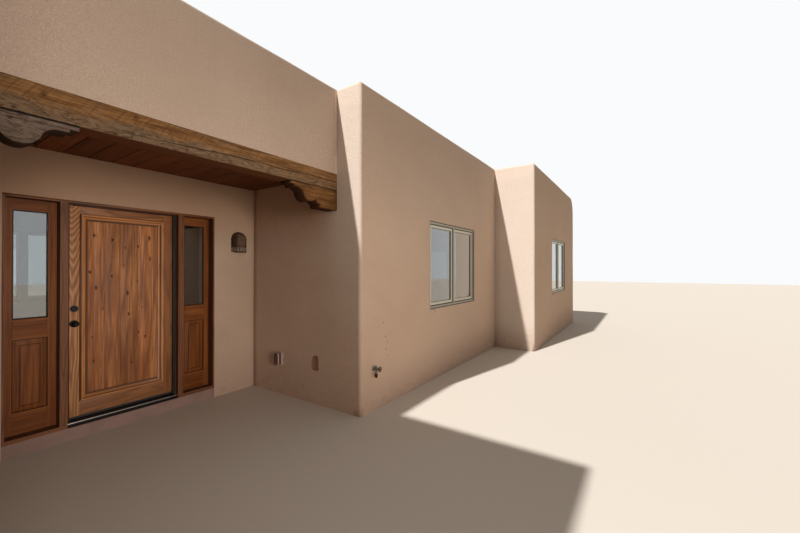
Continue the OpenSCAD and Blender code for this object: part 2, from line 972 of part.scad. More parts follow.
module leaf_hinges() {
    plate_x = frame_x + leaf_w / 2;
    color("dimgray") in_plan()
        for (z = hinge_levels)
            difference() {
                union() {
                    translate([plate_x, leaf_y + 8, z]) cube([hinge_plate_t, leaf_t - 8, hinge_h]);
                    on_pin(z + knuckle, knuckle, barrel_r);
                    translate([plate_x, leaf_y + 8, z + knuckle])
                        cube([hinge_plate_t, pin_y - leaf_y - 8, knuckle]);
                }
                on_pin(z + knuckle - cut, knuckle + 2 * cut, pin_r + spindle_gap);
            }
}

module front_window_frames() {
    color("wheat") in_plan() in_front_walls() window_frame();
}

module front_window_sashes() {
    color("wheat") in_plan() in_front_walls() window_sashes();
}

module front_window_glass() {
    color("lightblue") in_plan() in_front_walls() window_panes();
}

module other_window_frames() {
    color("wheat") in_plan() in_other_walls() window_frame();
}

module other_window_sashes() {
    color("wheat") in_plan() in_other_walls() window_sashes();
}

module other_window_glass() {
    color("lightblue") in_plan() in_other_walls() window_panes();
}

// Outline with a round top, standing on Y = 0
module arch(w, h) {
    translate([-w / 2, 0]) square([w, h - w / 2]);
    translate([0, h - w / 2]) circle(w / 2);
}

// Half of a domed tube against the wall, open below
module sconce_body(r, h, from_z) {
    dome_z = h - r;
    translate([0, 0, from_z]) cylinder(h = dome_z - from_z, r = r);
    translate([0, 0, dome_z]) sphere(r);
}

// Clay sconce: a half tube with a quarter-ball top, a row of slots, and a rim that dips to the front
module wall_sconce() {
    r = sconce_w / 2;
    slot_w = 13;
    slot_h = 34;
    slot_z = 38;
    slot_angle = 24;
    rim_rise = 20;
    color("saddlebrown") in_plan()
        translate([-sconce_x, door_wall_y, sconce_z])
            difference() {
                sconce_body(r, sconce_h, 0);
                sconce_body(r - sconce_t, sconce_h - sconce_t, -cut);
                translate([-sconce_w, 0, -cut]) cube([2 * sconce_w, sconce_w, 2 * sconce_h]);
                rotate([90, 0, 90])
                    linear_extrude(2 * sconce_w, center = true)
                        polygon([[-r, 0], [r, 2 * rim_rise], [r, -r], [-r, -r]]);
                for (i = [-2:2])
                    rotate(i * slot_angle)
                        translate([-slot_w / 2, -sconce_w, slot_z])
                            cube([slot_w, sconce_w, slot_h]);
            }
}

// Plate on the wall with a deep flap cover that leaves a shadow gap round it
module outlet_cover() {
    plate_t = 6;
    flap_in = 9;
    flap_gap = 5;
    color("rosybrown") in_plan()
        translate([0, outlet_y, outlet_z]) {
            translate([-plate_t, 0, 0]) cube([plate_t, outlet_w, outlet_h]);
            translate([-plate_t - flap_gap, 2 * flap_in, 2 * flap_in])
                cube([flap_gap, outlet_w - 4 * flap_in, outlet_h - 4 * flap_in]);
            translate([-outlet_out, flap_in, outlet_h - flap_in])
                rotate([0, 90, 0])
                    linear_extrude(outlet_out - plate_t - flap_gap)
                        rounded_oblong(outlet_h - 2 * flap_in, outlet_w - 2 * flap_in, 14);
        }
}

module rounded_oblong(w, h, r) {
    translate([r, 0]) square([w - 2 * r, h]);
    translate([0, r]) square([w, h - 2 * r]);
    for (x = [r, w - r], y = [r, h - r]) translate([x, y]) circle(r);
}

// Arched plate with a raised rim
module wall_plate() {
    plate_t = 5;
    rim_w = 9;
    rim_t = 12;
    color("rosybrown") in_plan()
        translate([0, plate_y + plate_w / 2, plate_z])
            rotate([90, 0, -90]) {
                linear_extrude(plate_t) arch(plate_w, plate_h);
                linear_extrude(rim_t)
                    difference() {
                        arch(plate_w, plate_h);
                        translate([0, rim_w]) arch(plate_w - 2 * rim_w, plate_h - 2 * rim_w);
                    }
            }
}

// Garden tap: wall flange, body, round handle in front and a spout with its breaker below
module hose_bib() {
    flange_r = 28;
    body_r = 13;
    reach = 62;
    spout_y = -38;
    color("gray") in_plan()
        translate([tap_x, 0, tap_z]) {
            rotate([90, 0, 0]) {
                cylinder(h = 5, r = flange_r);
                cylinder(h = reach, r = body_r);
                translate([0, 0, reach - 22]) cylinder(h = 22, r = 17, $fn = 6);
                translate([0, 0, reach]) cylinder(h = 22, r = 5);
                translate([0, 0, reach + 22]) handwheel();
            }
            translate([0, spout_y, -58]) cylinder(h = 58, r = 11);
            translate([0, spout_y, -84]) cylinder(h = 30, r = 16);
            translate([0, spout_y, -100]) cylinder(h = 16, r = 13);
            translate([0, spout_y, 0]) cylinder(h = 30, r = 12);
        }
}

module handwheel() {
    rim_r = 27;
    rim_t = 4;
    rotate_extrude() translate([rim_r, rim_t]) circle(rim_t);
    cylinder(h = 2 * rim_t, r = 9);
    for (turn = [0:4])
        rotate(72 * turn) translate([0, -2.5, 2]) cube([rim_r, 5, rim_t]);
}

floor_slab();
wing_front_wall();
wing_west_wall();
wing_east_wall();
entry_west_pier();
entry_east_pier();
entry_lintel_wall();
entry_curb();
portal_parapet();
bedroom_west_wall();
bedroom_front_wall();
end_west_wall();
end_front_wall();
east_wall();
rear_wall();
vigas();
roof_deck();
roofing();
canales();
portal_beam();
west_corbel();
east_corbel();
portal_ceiling();
portal_joists();
door_frame();
door_threshold();
west_sidelight();
east_sidelight();
sidelight_glass();
door_leaf();
door_panel();
door_moulding();
door_knob();
deadbolt();
door_sweep();
jamb_hinges();
leaf_hinges();
front_window_frames();
front_window_sashes();
front_window_glass();
other_window_frames();
other_window_sashes();
other_window_glass();
wall_sconce();
outlet_cover();
wall_plate();
hose_bib();
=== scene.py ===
import math
import random

import bmesh
import bpy
import numpy as np
from mathutils import Matrix, Vector, noise


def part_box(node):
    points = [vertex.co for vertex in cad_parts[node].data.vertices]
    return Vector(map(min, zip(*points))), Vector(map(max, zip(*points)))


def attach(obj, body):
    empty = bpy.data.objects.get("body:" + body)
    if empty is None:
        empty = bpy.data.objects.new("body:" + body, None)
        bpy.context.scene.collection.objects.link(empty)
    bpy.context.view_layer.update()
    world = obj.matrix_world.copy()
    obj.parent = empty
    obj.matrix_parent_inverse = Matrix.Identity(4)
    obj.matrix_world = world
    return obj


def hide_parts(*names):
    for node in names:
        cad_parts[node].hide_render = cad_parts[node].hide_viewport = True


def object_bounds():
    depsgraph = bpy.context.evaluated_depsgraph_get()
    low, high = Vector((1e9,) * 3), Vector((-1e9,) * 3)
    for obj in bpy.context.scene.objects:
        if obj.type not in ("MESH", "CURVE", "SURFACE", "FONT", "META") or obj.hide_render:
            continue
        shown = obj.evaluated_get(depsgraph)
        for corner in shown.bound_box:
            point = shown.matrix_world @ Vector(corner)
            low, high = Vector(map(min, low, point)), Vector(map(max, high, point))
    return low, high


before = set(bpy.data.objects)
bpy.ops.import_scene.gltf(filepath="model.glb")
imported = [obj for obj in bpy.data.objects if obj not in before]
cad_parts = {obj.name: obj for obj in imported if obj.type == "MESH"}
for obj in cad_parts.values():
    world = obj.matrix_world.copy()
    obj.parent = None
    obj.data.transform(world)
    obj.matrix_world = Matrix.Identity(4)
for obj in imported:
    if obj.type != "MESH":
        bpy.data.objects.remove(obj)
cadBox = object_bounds()
scene = bpy.context.scene
house, door = "house", "door"
print("frame loaded:", len(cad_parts), "nodes")

# places are measured from the bedroom's front west corner, on the ground
corner = Vector((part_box("bedroom_west_wall")[0].x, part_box("bedroom_front_wall")[0].y, 0))

eye = {"place": (-2.965, -2.517, 1.607), "tilt": 90.239, "turn": -55.916, "lens": 16.19, "sensor": 36}
studio = {
    "key": 5.1, "keyColour": (1.0, 0.995, 0.985), "keyWay": (0.883, -0.19, -1), "keySpread": 1.2,
    "sky": 0.33, "skyColour": (1.0, 0.945, 0.885), "backdrop": (0.955, 0.965, 0.975),
    "floor": (0.58, 0.52, 0.45), "floorHalf": 45,
    # wide soft lamp that looks in under the portal
    "fill": 1650, "fillColour": (1.0, 0.9, 0.81), "fillPlace": (-3.6, -9.0, 2.2), "fillAim": (-1.4, 1.5, 0.7),
    "fillCone": 42, "fillSize": 1.6,
}


def addToScene(name, data, place=(0, 0, 0), turn=(0, 0, 0)):
    thing = bpy.data.objects.new(name, data)
    thing.location, thing.rotation_euler = place, turn
    scene.collection.objects.link(thing)
    return thing


def setCamera():
    data = bpy.data.cameras.new("eye")
    data.lens, data.sensor_width, data.sensor_fit = eye["lens"], eye["sensor"], "HORIZONTAL"
    data.clip_start, data.clip_end = 0.05, 300
    turn = (math.radians(eye["tilt"]), 0, math.radians(eye["turn"]))
    scene.camera = addToScene("eye", data, corner + Vector(eye["place"]), turn)


def addLamp(name, kind, way, place=(0, 0, 0)):
    lamp = bpy.data.lights.new(name, kind)
    lamp.energy, lamp.color = studio[name], studio[name + "Colour"]
    addToScene(name, lamp, place, Vector(way).to_track_quat("-Z", "Y").to_euler())
    return lamp


def setLamps():
    addLamp("key", "SUN", studio["keyWay"]).angle = math.radians(studio["keySpread"])
    place = Vector(studio["fillPlace"])
    fill = addLamp("fill", "SPOT", Vector(studio["fillAim"]) - place, corner + place)
    fill.spot_size, fill.spot_blend = math.radians(studio["fillCone"]), 1.0
    fill.shadow_soft_size = studio["fillSize"]


bench = {}  # the node tree that is being built, and its material


def plug(node, sockets):
    for socket, value in sockets.items():
        if isinstance(value, bpy.types.NodeSocket):
            bench["tree"].links.new(value, node.inputs[socket])
        else:
            node.inputs[socket].default_value = value


def put(kind, sockets=None, **settings):
    node = bench["tree"].nodes.new(kind if "Node" in kind else "ShaderNode" + kind)
    for name, value in settings.items():
        setattr(node, name, value)
    plug(node, sockets or {})
    return node.outputs


def calc(operation, a, b=0.0, c=0.0, clamp=False):
    return put("Math", {0: a, 1: b, 2: c}, operation=operation, use_clamp=clamp)[0]


def times(product, *others):
    for other in others:
        product = calc("MULTIPLY", product, other)
    return product


def apart(a, b):
    return calc("ABSOLUTE", calc("SUBTRACT", a, b))


def least(values):
    nearest = values[0]
    for value in values[1:]:
        nearest = calc("MINIMUM", nearest, value)
    return nearest


def spread(value, low, high, toLow=0.0, toHigh=1.0, smooth=False):
    sockets = {"Value": value, "From Min": low, "From Max": high, "To Min": toLow, "To Max": toHigh}
    return put("MapRange", sockets, interpolation_type="SMOOTHSTEP" if smooth else "LINEAR")[0]


def scaled(colour, share):
    return tuple(min(1, share * part) for part in colour)


def tint(share, first, second, blend="MIX"):
    first, second = [(*c, 1) if isinstance(c, tuple) else c for c in (first, second)]
    return put("Mix", {0: share, 6: first, 7: second}, data_type="RGBA", blend_type=blend)[2]


def coats(colour, *layers):
    for share, other in layers:
        colour = tint(share, colour, other)
    return colour


def noiseAt(coords, scale, detail=2.0, rough=0.5, warp=0.0, stretch=None):
    if stretch:
        coords = put("Mapping", {"Vector": coords, "Scale": stretch})[0]
    sockets = {"Vector": coords, "Scale": scale, "Detail": detail, "Roughness": rough, "Distortion": warp}
    return put("TexNoise", sockets)["Fac"]


def startMaterial(name):
    material = bpy.data.materials.new(name)
    material.use_nodes = True
    bench["material"], bench["tree"] = material, material.node_tree
    coords = put("TexCoord")["Object"]
    return coords, put("SeparateXYZ", {0: coords})


def endMaterial(colour, rough, gloss=0.5, bumps=(), more=None):
    if isinstance(colour, tuple):
        colour = (*colour, 1)
    sockets = {"Base Color": colour, "Roughness": rough, "Specular IOR Level": gloss, **(more or {})}
    below = {}
    for height, distance, strength in bumps:
        normal = put("Bump", {"Height": height, "Distance": distance, "Strength": strength, **below})[0]
        below = {"Normal": normal}
    plug(bench["tree"].nodes["Principled BSDF"], {**sockets, **below})
    return bench["material"]


def setWorld():
    scene.world = bpy.data.worlds.new("studio")
    scene.world.use_nodes = True
    bench["tree"] = scene.world.node_tree
    bench["tree"].nodes.clear()
    rays = put("LightPath")
    seen = calc("MAXIMUM", rays["Is Camera Ray"], rays["Is Glossy Ray"])
    seen = calc("MAXIMUM", seen, rays["Is Transmission Ray"])
    light = put("Background", {"Color": (*studio["skyColour"], 1), "Strength": studio["sky"]})[0]
    pale = put("Background", {"Color": (*studio["backdrop"], 1), "Strength": 1.0})[0]
    put("OutputWorld", {"Surface": put("MixShader", {0: seen, 1: light, 2: pale})[0]})


def setFloor():
    mesh, far = bpy.data.meshes.new("floor"), studio["floorHalf"]
    mesh.from_pydata([(-far, -far, 0), (far, -far, 0), (far, far, 0), (-far, far, 0)], [], [(0, 1, 2, 3)])
    startMaterial("paleFloor")
    mesh.materials.append(endMaterial(studio["floor"], 0.95))
    addToScene("floor", mesh)


stucco = {
    "colour": (0.6, 0.448, 0.342), "pale": (0.665, 0.51, 0.4), "dark": (0.52, 0.375, 0.28),
    "paintedSunHighlight": (0.67, 0.595, 0.52), "paintedTopShade": (0.4, 0.3, 0.23), "paintedWarmBounce": (0.6, 0.385, 0.25),
    "paintedWestLight": (0.66, 0.54, 0.46), "shade": (0.33, 0.215, 0.13), "gritPale": (0.78, 0.66, 0.55),
    "splash": (0.44, 0.295, 0.225), "splashTop": 0.55, "capPale": (0.72, 0.59, 0.49), "capBand": 3.43,
    "paintedRecessShade": (0.43, 0.255, 0.15), "paintedRecessShadeFoot": 1.75, "paintedRecessShadeTop": 2.4, "rust": (0.1, 0.055, 0.035),
    "grit": 135, "grain": 240, "float": 55,
    # small rusty specks on the bedroom's front: place from its corner, and size
    "specks": [(0.41, 0.97, 0.006), (0.454, 0.8, 0.007), (0.486, 0.73, 0.006), (0.463, 0.655, 0.006),
               (0.513, 0.565, 0.005)],
    "gridStep": 0.15, "swell": 0.0045, "swellSize": 0.85, "ripple": 0.0012, "rippleSize": 0.23, "fade": 0.18,
    "skin": 0.05, "coat": 0.07, "corner": 0.047,
}


def knotDistance(coords, spots):
    # distance to the nearest knot, in knot sizes; a knot is nearly twice as long as wide
    reach = []
    for x, z, size in spots:
        grow = Vector((1 / size, 0, 0.6 / size))
        sockets = {0: coords, 1: grow, 2: -grow * (corner + Vector((x, 0, z)))}
        away = put("VectorMath", sockets, operation="MULTIPLY_ADD")[0]
        reach.append(put("VectorMath", {0: away}, operation="LENGTH")["Value"])
    return least(reach)


def stuccoMaterial():
    coords, (x, y, z) = startMaterial("sandStucco")
    cloud = noiseAt(coords, 0.8, 4, 0.55, 0.4)
    trowel = noiseAt(coords, 7.5, 4, 0.6, 0.6, (1, 1, 1.6))
    streak = noiseAt(coords, 2.2, 3, 0.6, 0, (3.2, 3.2, 0.22))
    sand = noiseAt(coords, stucco["grain"], 2, 0.7)
    dimples = noiseAt(coords, stucco["float"], 3, 0.7)
    grit = noiseAt(coords, stucco["grit"], 2, 0.6)
    edge = calc("ADD", z, spread(trowel, 0.2, 0.8, -0.06, 0.06))
    cap, (cx, cy) = stucco["capBand"], corner.xy
    # the returns that face west have a paler cap coat, and a painted highlight where the sun is on them
    west = 0.0
    for node in ("bedroom_west_wall", "end_west_wall"):
        west = calc("ADD", west, spread(apart(x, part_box(node)[0].x), 0.03, 0.02))
    rear, (beamLow, beamHigh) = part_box("rear_wall")[1].y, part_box("portal_beam")
    west = times(west, spread(y, rear - 0.4, rear - 0.5))
    front = calc("SUBTRACT", 1.0, west)
    sunlitPart = calc("MAXIMUM", spread(z, 0.8, 2.2), spread(x, cx + 1, cx + 2))
    # under the portal's ceiling
    low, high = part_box("portal_ceiling")
    half, wall = (high.x - low.x) / 2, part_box("entry_lintel_wall")[0].y
    recess = times(spread(y, low.y, low.y + 0.3), spread(y, wall + 0.06, wall + 0.04),
                   spread(apart(x, (low.x + high.x) / 2), half + 0.06, half + 0.04))
    speck = calc("ADD", knotDistance(coords, stucco["specks"]), spread(dimples, 0.3, 0.7, -0.4, 0.4))
    layers = [
        (0.35, "colour"), (spread(trowel, 0.35, 0.7, 0, 0.22), "pale"),
        # rain marks down from the parapet
        (times(spread(streak, 0.52, 0.72, 0, 0.35), spread(z, 2.2, 3.5)), "dark"),
        (spread(edge, cap - 0.02, cap + 0.03, 0, 0.22), "pale"),
        (times(west, spread(y, beamHigh.y, beamLow.y), sunlitPart, 0.7), "paintedSunHighlight"),
        (times(west, spread(edge, cap - 0.07, cap + 0.01, 0, 0.75)), "capPale"),
        # painted shade high on the fronts, least at the portal's west end and most on the end room
        (times(spread(edge, 2.2, 3.4, 0, 0.72), front, spread(x, cx - 2.8, cx - 0.8, 0.1, 1)), "paintedTopShade"),
        # painted light high on the portal parapet's west end
        (times(spread(x, cx - 0.8, cx - 2.8, 0, 0.6), spread(z, 2.2, 2.7), spread(y, cy + 1.2, cy + 0.8)),
         "paintedWestLight"),
        # painted shade on the end room's front
        (times(spread(y, cy - 0.5, cy - 0.7, 0, 0.45), front), "shade"),
        # painted warm bounce light on the bedroom and the end room, most of all low down
        (times(spread(edge, 3.2, 0.6, 0.1, 0.42), spread(y, cy + 0.25, cy + 0.05), front), "paintedWarmBounce"),
        (times(spread(z, stucco["splashTop"], 0.0), spread(trowel, 0.25, 0.7, 0.35, 1)), "splash"),
        (spread(sand, 0.3, 0.7, 0, 0.22), "dark"), (spread(dimples, 0.52, 0.7, 0, 0.3), "dark"),
        (spread(grit, 0.54, 0.68, 0, 0.4), "gritPale"), (spread(grit, 0.46, 0.32, 0, 0.4), "splash"),
        # painted shade high in the recess under the portal's ceiling
        (times(spread(edge, stucco["paintedRecessShadeFoot"], stucco["paintedRecessShadeTop"], 0, 0.7, True), recess), "paintedRecessShade"),
        (times(spread(speck, 1.3, 0.7), spread(apart(y, cy), 0.03, 0.02)), "rust"),
    ]
    colour = tint(spread(cloud, 0.35, 0.65), stucco["dark"], stucco["pale"])
    colour = coats(colour, *[(share, stucco[key]) for share, key in layers])
    bumps = [(trowel, 0.008, 0.4), (dimples, 0.005, 0.7), (grit, 0.004, 0.7), (sand, 0.0025, 0.7)]
    return endMaterial(colour, 0.93, 0.15, bumps)


def plasterMaterial():
    coords, place = startMaterial("insidePlaster")
    trowel = noiseAt(coords, 4, 4, 0.6, 0.5)
    colour = tint(spread(trowel, 0.35, 0.65), (0.56, 0.5, 0.42), (0.62, 0.565, 0.485))
    return endMaterial(colour, 0.85, bumps=[(trowel, 0.004, 0.3)])


def edgeDistance(x, z, rectangles):
    # distance in the door's plane from the nearest of some upright rectangles, negative inside them
    def beyond(part, low, high):
        return calc("SUBTRACT", apart(part, (low + high) / 2), (high - low) / 2)

    return least([calc("MAXIMUM", beyond(x, low[0], high[0]), beyond(z, low[2], high[2]))
                  for low, high in rectangles])


def wood(name, way, light, dark, line, rings=9.0, ringSize=9.0, plume=0.07, knots=0.0, knotSize=0.05,
         tone=0.1, rough=0.5, fibre=0.35, late=0.5, gloss=0.3, grey=None, across=0.0, spots=None, stain=None,
         arch=None, foot=0.0, joints=None):
    own, (x, y, z) = startMaterial(name)
    seed = put("Attribute", attribute_name="boardTone")
    shift = put("VectorMath", {0: seed["Vector"], 1: (17.3, 9.1, 5.7)}, operation="MULTIPLY")[0]
    quarter = math.pi / 2
    turn = {"X": (0, -quarter, 0), "Y": (quarter, 0, 0), "Z": (0, 0, 0)}[way]  # the grain runs along this way
    plain = put("Mapping", {"Vector": own, "Rotation": turn})[0]
    coords = put("VectorMath", {0: plain, 1: shift})[0]
    wander = noiseAt(coords, 2.4, 2, 0.5, 0, (1, 1, 0.25))
    field = calc("MULTIPLY_ADD", wander, 0.16, noiseAt(coords, ringSize, 1.6, 0.42, 0.25, (1, 1, plume)))
    streaks = noiseAt(coords, 170, 3, 0.65, 0, (1, 1, 0.018))
    bands = noiseAt(coords, 17, 4, 0.65, 0, (1, 1, 0.07))
    marks = []  # for each kind of knot: how far away it is, and where it counts
    if spots:
        marks.append((knotDistance(plain, spots), 1.0))
    if knots:
        cells = put("Mapping", {"Vector": coords, "Scale": (8.0, across, 3.4)})[0]
        cells = put("TexVoronoi", {"Vector": cells, "Scale": 1.0})
        chance = put("SeparateColor", {0: cells["Color"]})
        real = spread(chance[0], 0.98 - knots, 1.02 - knots)
        size = spread(chance[1], 0, 1, 0.55 * knotSize, 1.3 * knotSize)
        marks.append((calc("DIVIDE", cells["Distance"], size), real))
    for reach, real in marks:
        field = calc("MULTIPLY_ADD", times(spread(reach, 4.0, 0.0, 0, 1, True), real), 0.05, field)
    if arch:  # nested arches of a flat-sawn board, closer together higher up
        off = calc("SUBTRACT", x, arch["middle"])
        off = calc("SQRT", calc("MULTIPLY_ADD", off, off, arch["blunt"] ** 2))
        up = calc("SUBTRACT", calc("MAXIMUM", z, arch["from"]), arch["zero"])
        nest = calc("MULTIPLY_ADD", off, -arch["across"], times(up, up, arch["rise"]))
        field = calc("MULTIPLY_ADD", nest, 1 / rings, times(field, arch["wander"]))
    wave = calc("SINE", times(field, rings * 2 * math.pi))
    ring = calc("POWER", spread(wave, -0.4, 1.0), 1.3 if arch else 2.2)
    colour = coats(light, (spread(bands, 0.36, 0.64), dark), (times(ring, late), line))
    if arch:
        colour = tint(spread(wave, -0.2, -1.0, 0, 0.4), colour, scaled(light, 1.3))
    colour = tint(spread(streaks, 0.45, 0.72, 0, fibre), colour, line)
    lift = spread(seed["Fac"], 0, 1, 1 - tone, 1 + tone)  # each board a little lighter or darker
    colour = tint(1.0, colour, put("CombineColor", {0: lift, 1: lift, 2: lift})[0], "MULTIPLY")
    if grey:
        weather = noiseAt(coords, 5.1, 4, 0.6, 0, (1, 1, 0.2))
        colour = tint(spread(weather, 0.4, 0.66, *grey[1:]), colour, grey[0])
    lumps = noiseAt(coords, 75, 2, 0.6)
    for reach, real in marks:
        ragged = calc("ADD", reach, spread(streaks, 0.3, 0.7, -0.3, 0.3))
        ragged = calc("ADD", ragged, spread(lumps, 0.3, 0.7, -0.65, 0.65))
        colour = coats(colour, (times(spread(ragged, 2.0, 0.7, 0, 0.6, True), real), line),
                       (times(spread(ragged, 1.15, 0.6, 0, 0.95, True), real), scaled(line, 0.22)))
    if foot:
        colour = tint(spread(z, 0.75, 0.2, 0, foot), colour, scaled(dark, 0.5))
    if stain:
        # old stain and painted shade that stay dark in the corners: how far from the rectangles' edge, how
        # wide, how strong;
        # below nought it is a painted highlight
        away = edgeDistance(x, z, stain[0])
        for offset, wide, share in stain[1]:
            shade = scaled(line, 0.2) if share > 0 else scaled(light, 1.35)
            colour = tint(spread(apart(away, offset), wide, wide * 0.35, 0, abs(share)), colour, shade)
    if joints:  # the dark line where two boards meet
        first, pitch = joints
        off = apart(calc("FRACT", calc("MULTIPLY_ADD", x, 1 / pitch, 50.5 - first / pitch)), 0.5)
        colour = tint(spread(off, 0.0045 / pitch, 0.0025 / pitch, 0, 0.92), colour, (0.006, 0.003, 0.002))
    rough = spread(streaks, 0.3, 0.7, rough - 0.07, rough + 0.08)
    return endMaterial(colour, rough, gloss, [(ring, 0.0012, -0.3), (streaks, 0.0009, 0.5)])


saw = {"radius": 0.62, "hubUnder": 0.2, "spacing": 52, "westEnd": -1.2, "fade": 0.9}


def sawnWood(name, golden, deep, grey, greyShare, sawShare, node, under, spots=(), cap=0.0):
    # rough-sawn timber: arcs of the round blade, weather-greyed grain and long drying lines
    coords, (x, y, z) = startMaterial(name)
    (low, high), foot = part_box(node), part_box("portal_beam")[0].z
    grain = noiseAt(coords, 30, 5, 0.68, 0.6, (0.07, 1, 1))
    swirl = calc("SINE", times(noiseAt(coords, 6.5, 2, 0.5, 0.8, (0.22, 1, 1)), 75.0))
    patches = noiseAt(coords, 4.6, 4, 0.6, 0, (0.4, 1, 1))
    specks = noiseAt(coords, 120, 3, 0.7, 0, (0.05, 1, 1))
    crackle = noiseAt(coords, 42, 4, 0.75, 1.2, (0.35, 1, 1))
    # every tooth cut the same arc, one feed further along
    up = calc("ADD", z, saw["hubUnder"] - foot)
    bow = calc("SQRT", calc("SUBTRACT", saw["radius"] ** 2, times(up, up)))
    arcs = noiseAt(put("CombineXYZ", {0: calc("ADD", x, bow)})[0], saw["spacing"], 2, 0.6)
    westEnd = corner.x + saw["westEnd"]
    near = spread(x, westEnd + saw["fade"], westEnd, 0.35, 1.0, True)
    lower = spread(calc("ADD", z, spread(patches, 0.3, 0.7, -0.05, 0.05)), foot + 0.1, foot + 0.05)
    weathered = calc("MAXIMUM", spread(patches, 0.52, 0.72, 0, greyShare * 0.7), times(lower, greyShare))
    weathered = times(weathered, spread(x, corner.x - 1.4, corner.x, 1, 0.4))
    cracks = times(spread(crackle, 0.54, 0.62, 0, 0.8), calc("ADD", weathered, 0.25, 0, True))
    colour = coats(
        deep, (spread(grain, 0.36, 0.62), golden), (spread(swirl, 0.25, 1.0, 0, 0.4), deep),
        (times(spread(arcs, 0.5, 0.66, 0, sawShare), near), deep),
        (times(spread(arcs, 0.46, 0.34, 0, sawShare * 0.3), near), scaled(golden, 1.3)), (weathered, grey),
        (times(spread(swirl, 0.0, 1.0, 0, 0.6), weathered), scaled(grey, 0.45)),
        (spread(specks, 0.53, 0.72, 0, 0.6), scaled(deep, 0.3)), (cracks, scaled(deep, 0.3)),
        (times(spread(crackle, 0.46, 0.36, 0, 0.55), weathered), scaled(grey, 1.7)))
    if spots:
        reach = calc("ADD", knotDistance(coords, spots), spread(crackle, 0.3, 0.7, -0.5, 0.5))
        colour = coats(colour, (spread(reach, 2.2, 0.9, 0, 0.5, True), deep),
                       (spread(reach, 0.9, 0.4, 0, 0.5, True), (0.035, 0.014, 0.006)))
    # painted shade: the underside and the back are darker, and a painted shadow line marks the joint over a
    # corbel
    colour = tint(spread(y, low.y + 0.006, low.y + 0.012, 0, 0.9), colour, under)
    if cap:
        colour = tint(spread(z, high.z - cap - 0.003, high.z - cap, 0, 0.95), colour, (0.008, 0.004, 0.002))
    return endMaterial(colour, 0.85, 0.12, [(grain, 0.005, 0.6), (arcs, 0.003, 0.5), (specks, 0.002, 0.6)])


def coated(name, colour, rough, metal=0.0, wear=0.08, size=40.0, bump=0.0004, second=None, gloss=0.5):
    coords, place = startMaterial(name)
    patch, fine = noiseAt(coords, size, 4, 0.6), noiseAt(coords, size * 9, 2, 0.6)
    worn = tint(spread(patch, 0.42, 0.72, 0, min(1, wear * 6)), colour, second or scaled(colour, 0.72))
    rough = spread(fine, 0.3, 0.7, max(0.05, rough - wear), min(1, rough + wear))
    return endMaterial(worn, rough, gloss, [(fine, bump, 0.5)], {"Metallic": metal})


# rim: rust patches and painted shade; pale: painted highlight round the slot row; cut: painted shade in the
# slot holes
sconce = {"colour": (0.165, 0.108, 0.072), "rim": (0.042, 0.02, 0.011), "pale": (0.46, 0.36, 0.28),
          "cut": (0.006, 0.004, 0.003), "slots": (0.03, 0.064), "pitch": 21, "half": 0.0075}


def sconceMaterial():
    # rusty cylinder with painted shade toward its sides and top; its slots stand evenly round an axis that is
    # on the wall, painted dark for the shade in them, on a band of painted highlight
    coords, (x, y, z) = startMaterial("rustedSconce")
    low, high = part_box("wall_sconce")
    middle, radius, rim = (low.x + high.x) / 2, (high.x - low.x) / 2, sconce["rim"]
    patch = noiseAt(coords, 34, 4, 0.6)
    pitch = math.radians(sconce["pitch"])
    half = sconce["half"] / (radius * pitch)
    angle = calc("ARCTAN2", calc("SUBTRACT", x, middle), calc("SUBTRACT", high.y, y))
    slot = apart(calc("FRACT", calc("MULTIPLY_ADD", angle, 1 / pitch, 50.5)), 0.5)
    slot = times(spread(slot, half + 0.03, half - 0.03), spread(calc("ABSOLUTE", angle), 1.25, 1.22))
    foot, top = sconce["slots"]
    tall, row = (top - foot) / 2, apart(z, low.z + (foot + top) / 2)
    colour = coats(
        sconce["colour"], (spread(patch, 0.42, 0.72, 0, 0.8), rim),
        (spread(apart(x, middle), 0.035, 0.08, 0, 0.85, True), rim),
        (spread(z, high.z - 0.05, high.z - 0.02, 0, 0.6), rim),
        (spread(row, tall + 0.008, tall, 0, 0.6), sconce["pale"]),
        (times(slot, spread(row, tall + 0.001, tall - 0.001)), sconce["cut"]))
    return endMaterial(colour, 0.7, 0.1, [(patch, 0.002, 0.5)])


def glassMaterial(name, colour, coat):
    # the coat stands for the second pane's reflection
    coords, place = startMaterial(name)
    film = noiseAt(coords, 1.4, 3, 0.5, 0, (1, 1, 0.5))
    return endMaterial(colour, spread(film, 0.35, 0.75, 0.0, 0.025), 1.0, more={
        "Transmission Weight": 1.0, "IOR": 1.52, "Coat Weight": 1.0, "Coat Roughness": 0.005,
        "Coat IOR": coat})


def tileMaterial():
    coords, place = startMaterial("clayTiles")
    brick = put("TexBrick", {
        "Vector": coords, "Color1": (0.3, 0.115, 0.065, 1), "Color2": (0.37, 0.16, 0.09, 1),
        "Mortar": (0.3, 0.27, 0.24, 1), "Scale": 1.0, "Mortar Size": 0.006, "Mortar Smooth": 0.3,
        "Brick Width": 0.305, "Row Height": 0.305}, offset=0.0)
    wear = noiseAt(coords, 6, 4, 0.6)
    colour = tint(spread(wear, 0.4, 0.7, 0, 0.35), brick["Color"], (0.42, 0.22, 0.14))
    return endMaterial(colour, 0.42, bumps=[(brick["Fac"], 0.002, -0.6)])


def roofMaterial():
    # granule cap sheet in strips a metre wide, lapped down the fall
    coords, (x, y, z) = startMaterial("capSheet")
    granule, stain = noiseAt(coords, 420, 2, 0.8), noiseAt(coords, 0.9, 4, 0.6, 0.4)
    lap = calc("FRACT", calc("ADD", y, 50.0))
    colour = coats((0.4, 0.355, 0.3), (spread(stain, 0.35, 0.7), (0.31, 0.275, 0.235)),
                   (spread(granule, 0.35, 0.7, 0, 0.5), (0.2, 0.17, 0.145)),
                   (spread(apart(lap, 0.5), 0.004, 0.014, 1, 0), (0.06, 0.055, 0.05)))
    return endMaterial(colour, 0.95, bumps=[(granule, 0.0015, 0.6), (lap, 0.01, 0.2)])


setCamera()
setWorld()
setLamps()
setFloor()

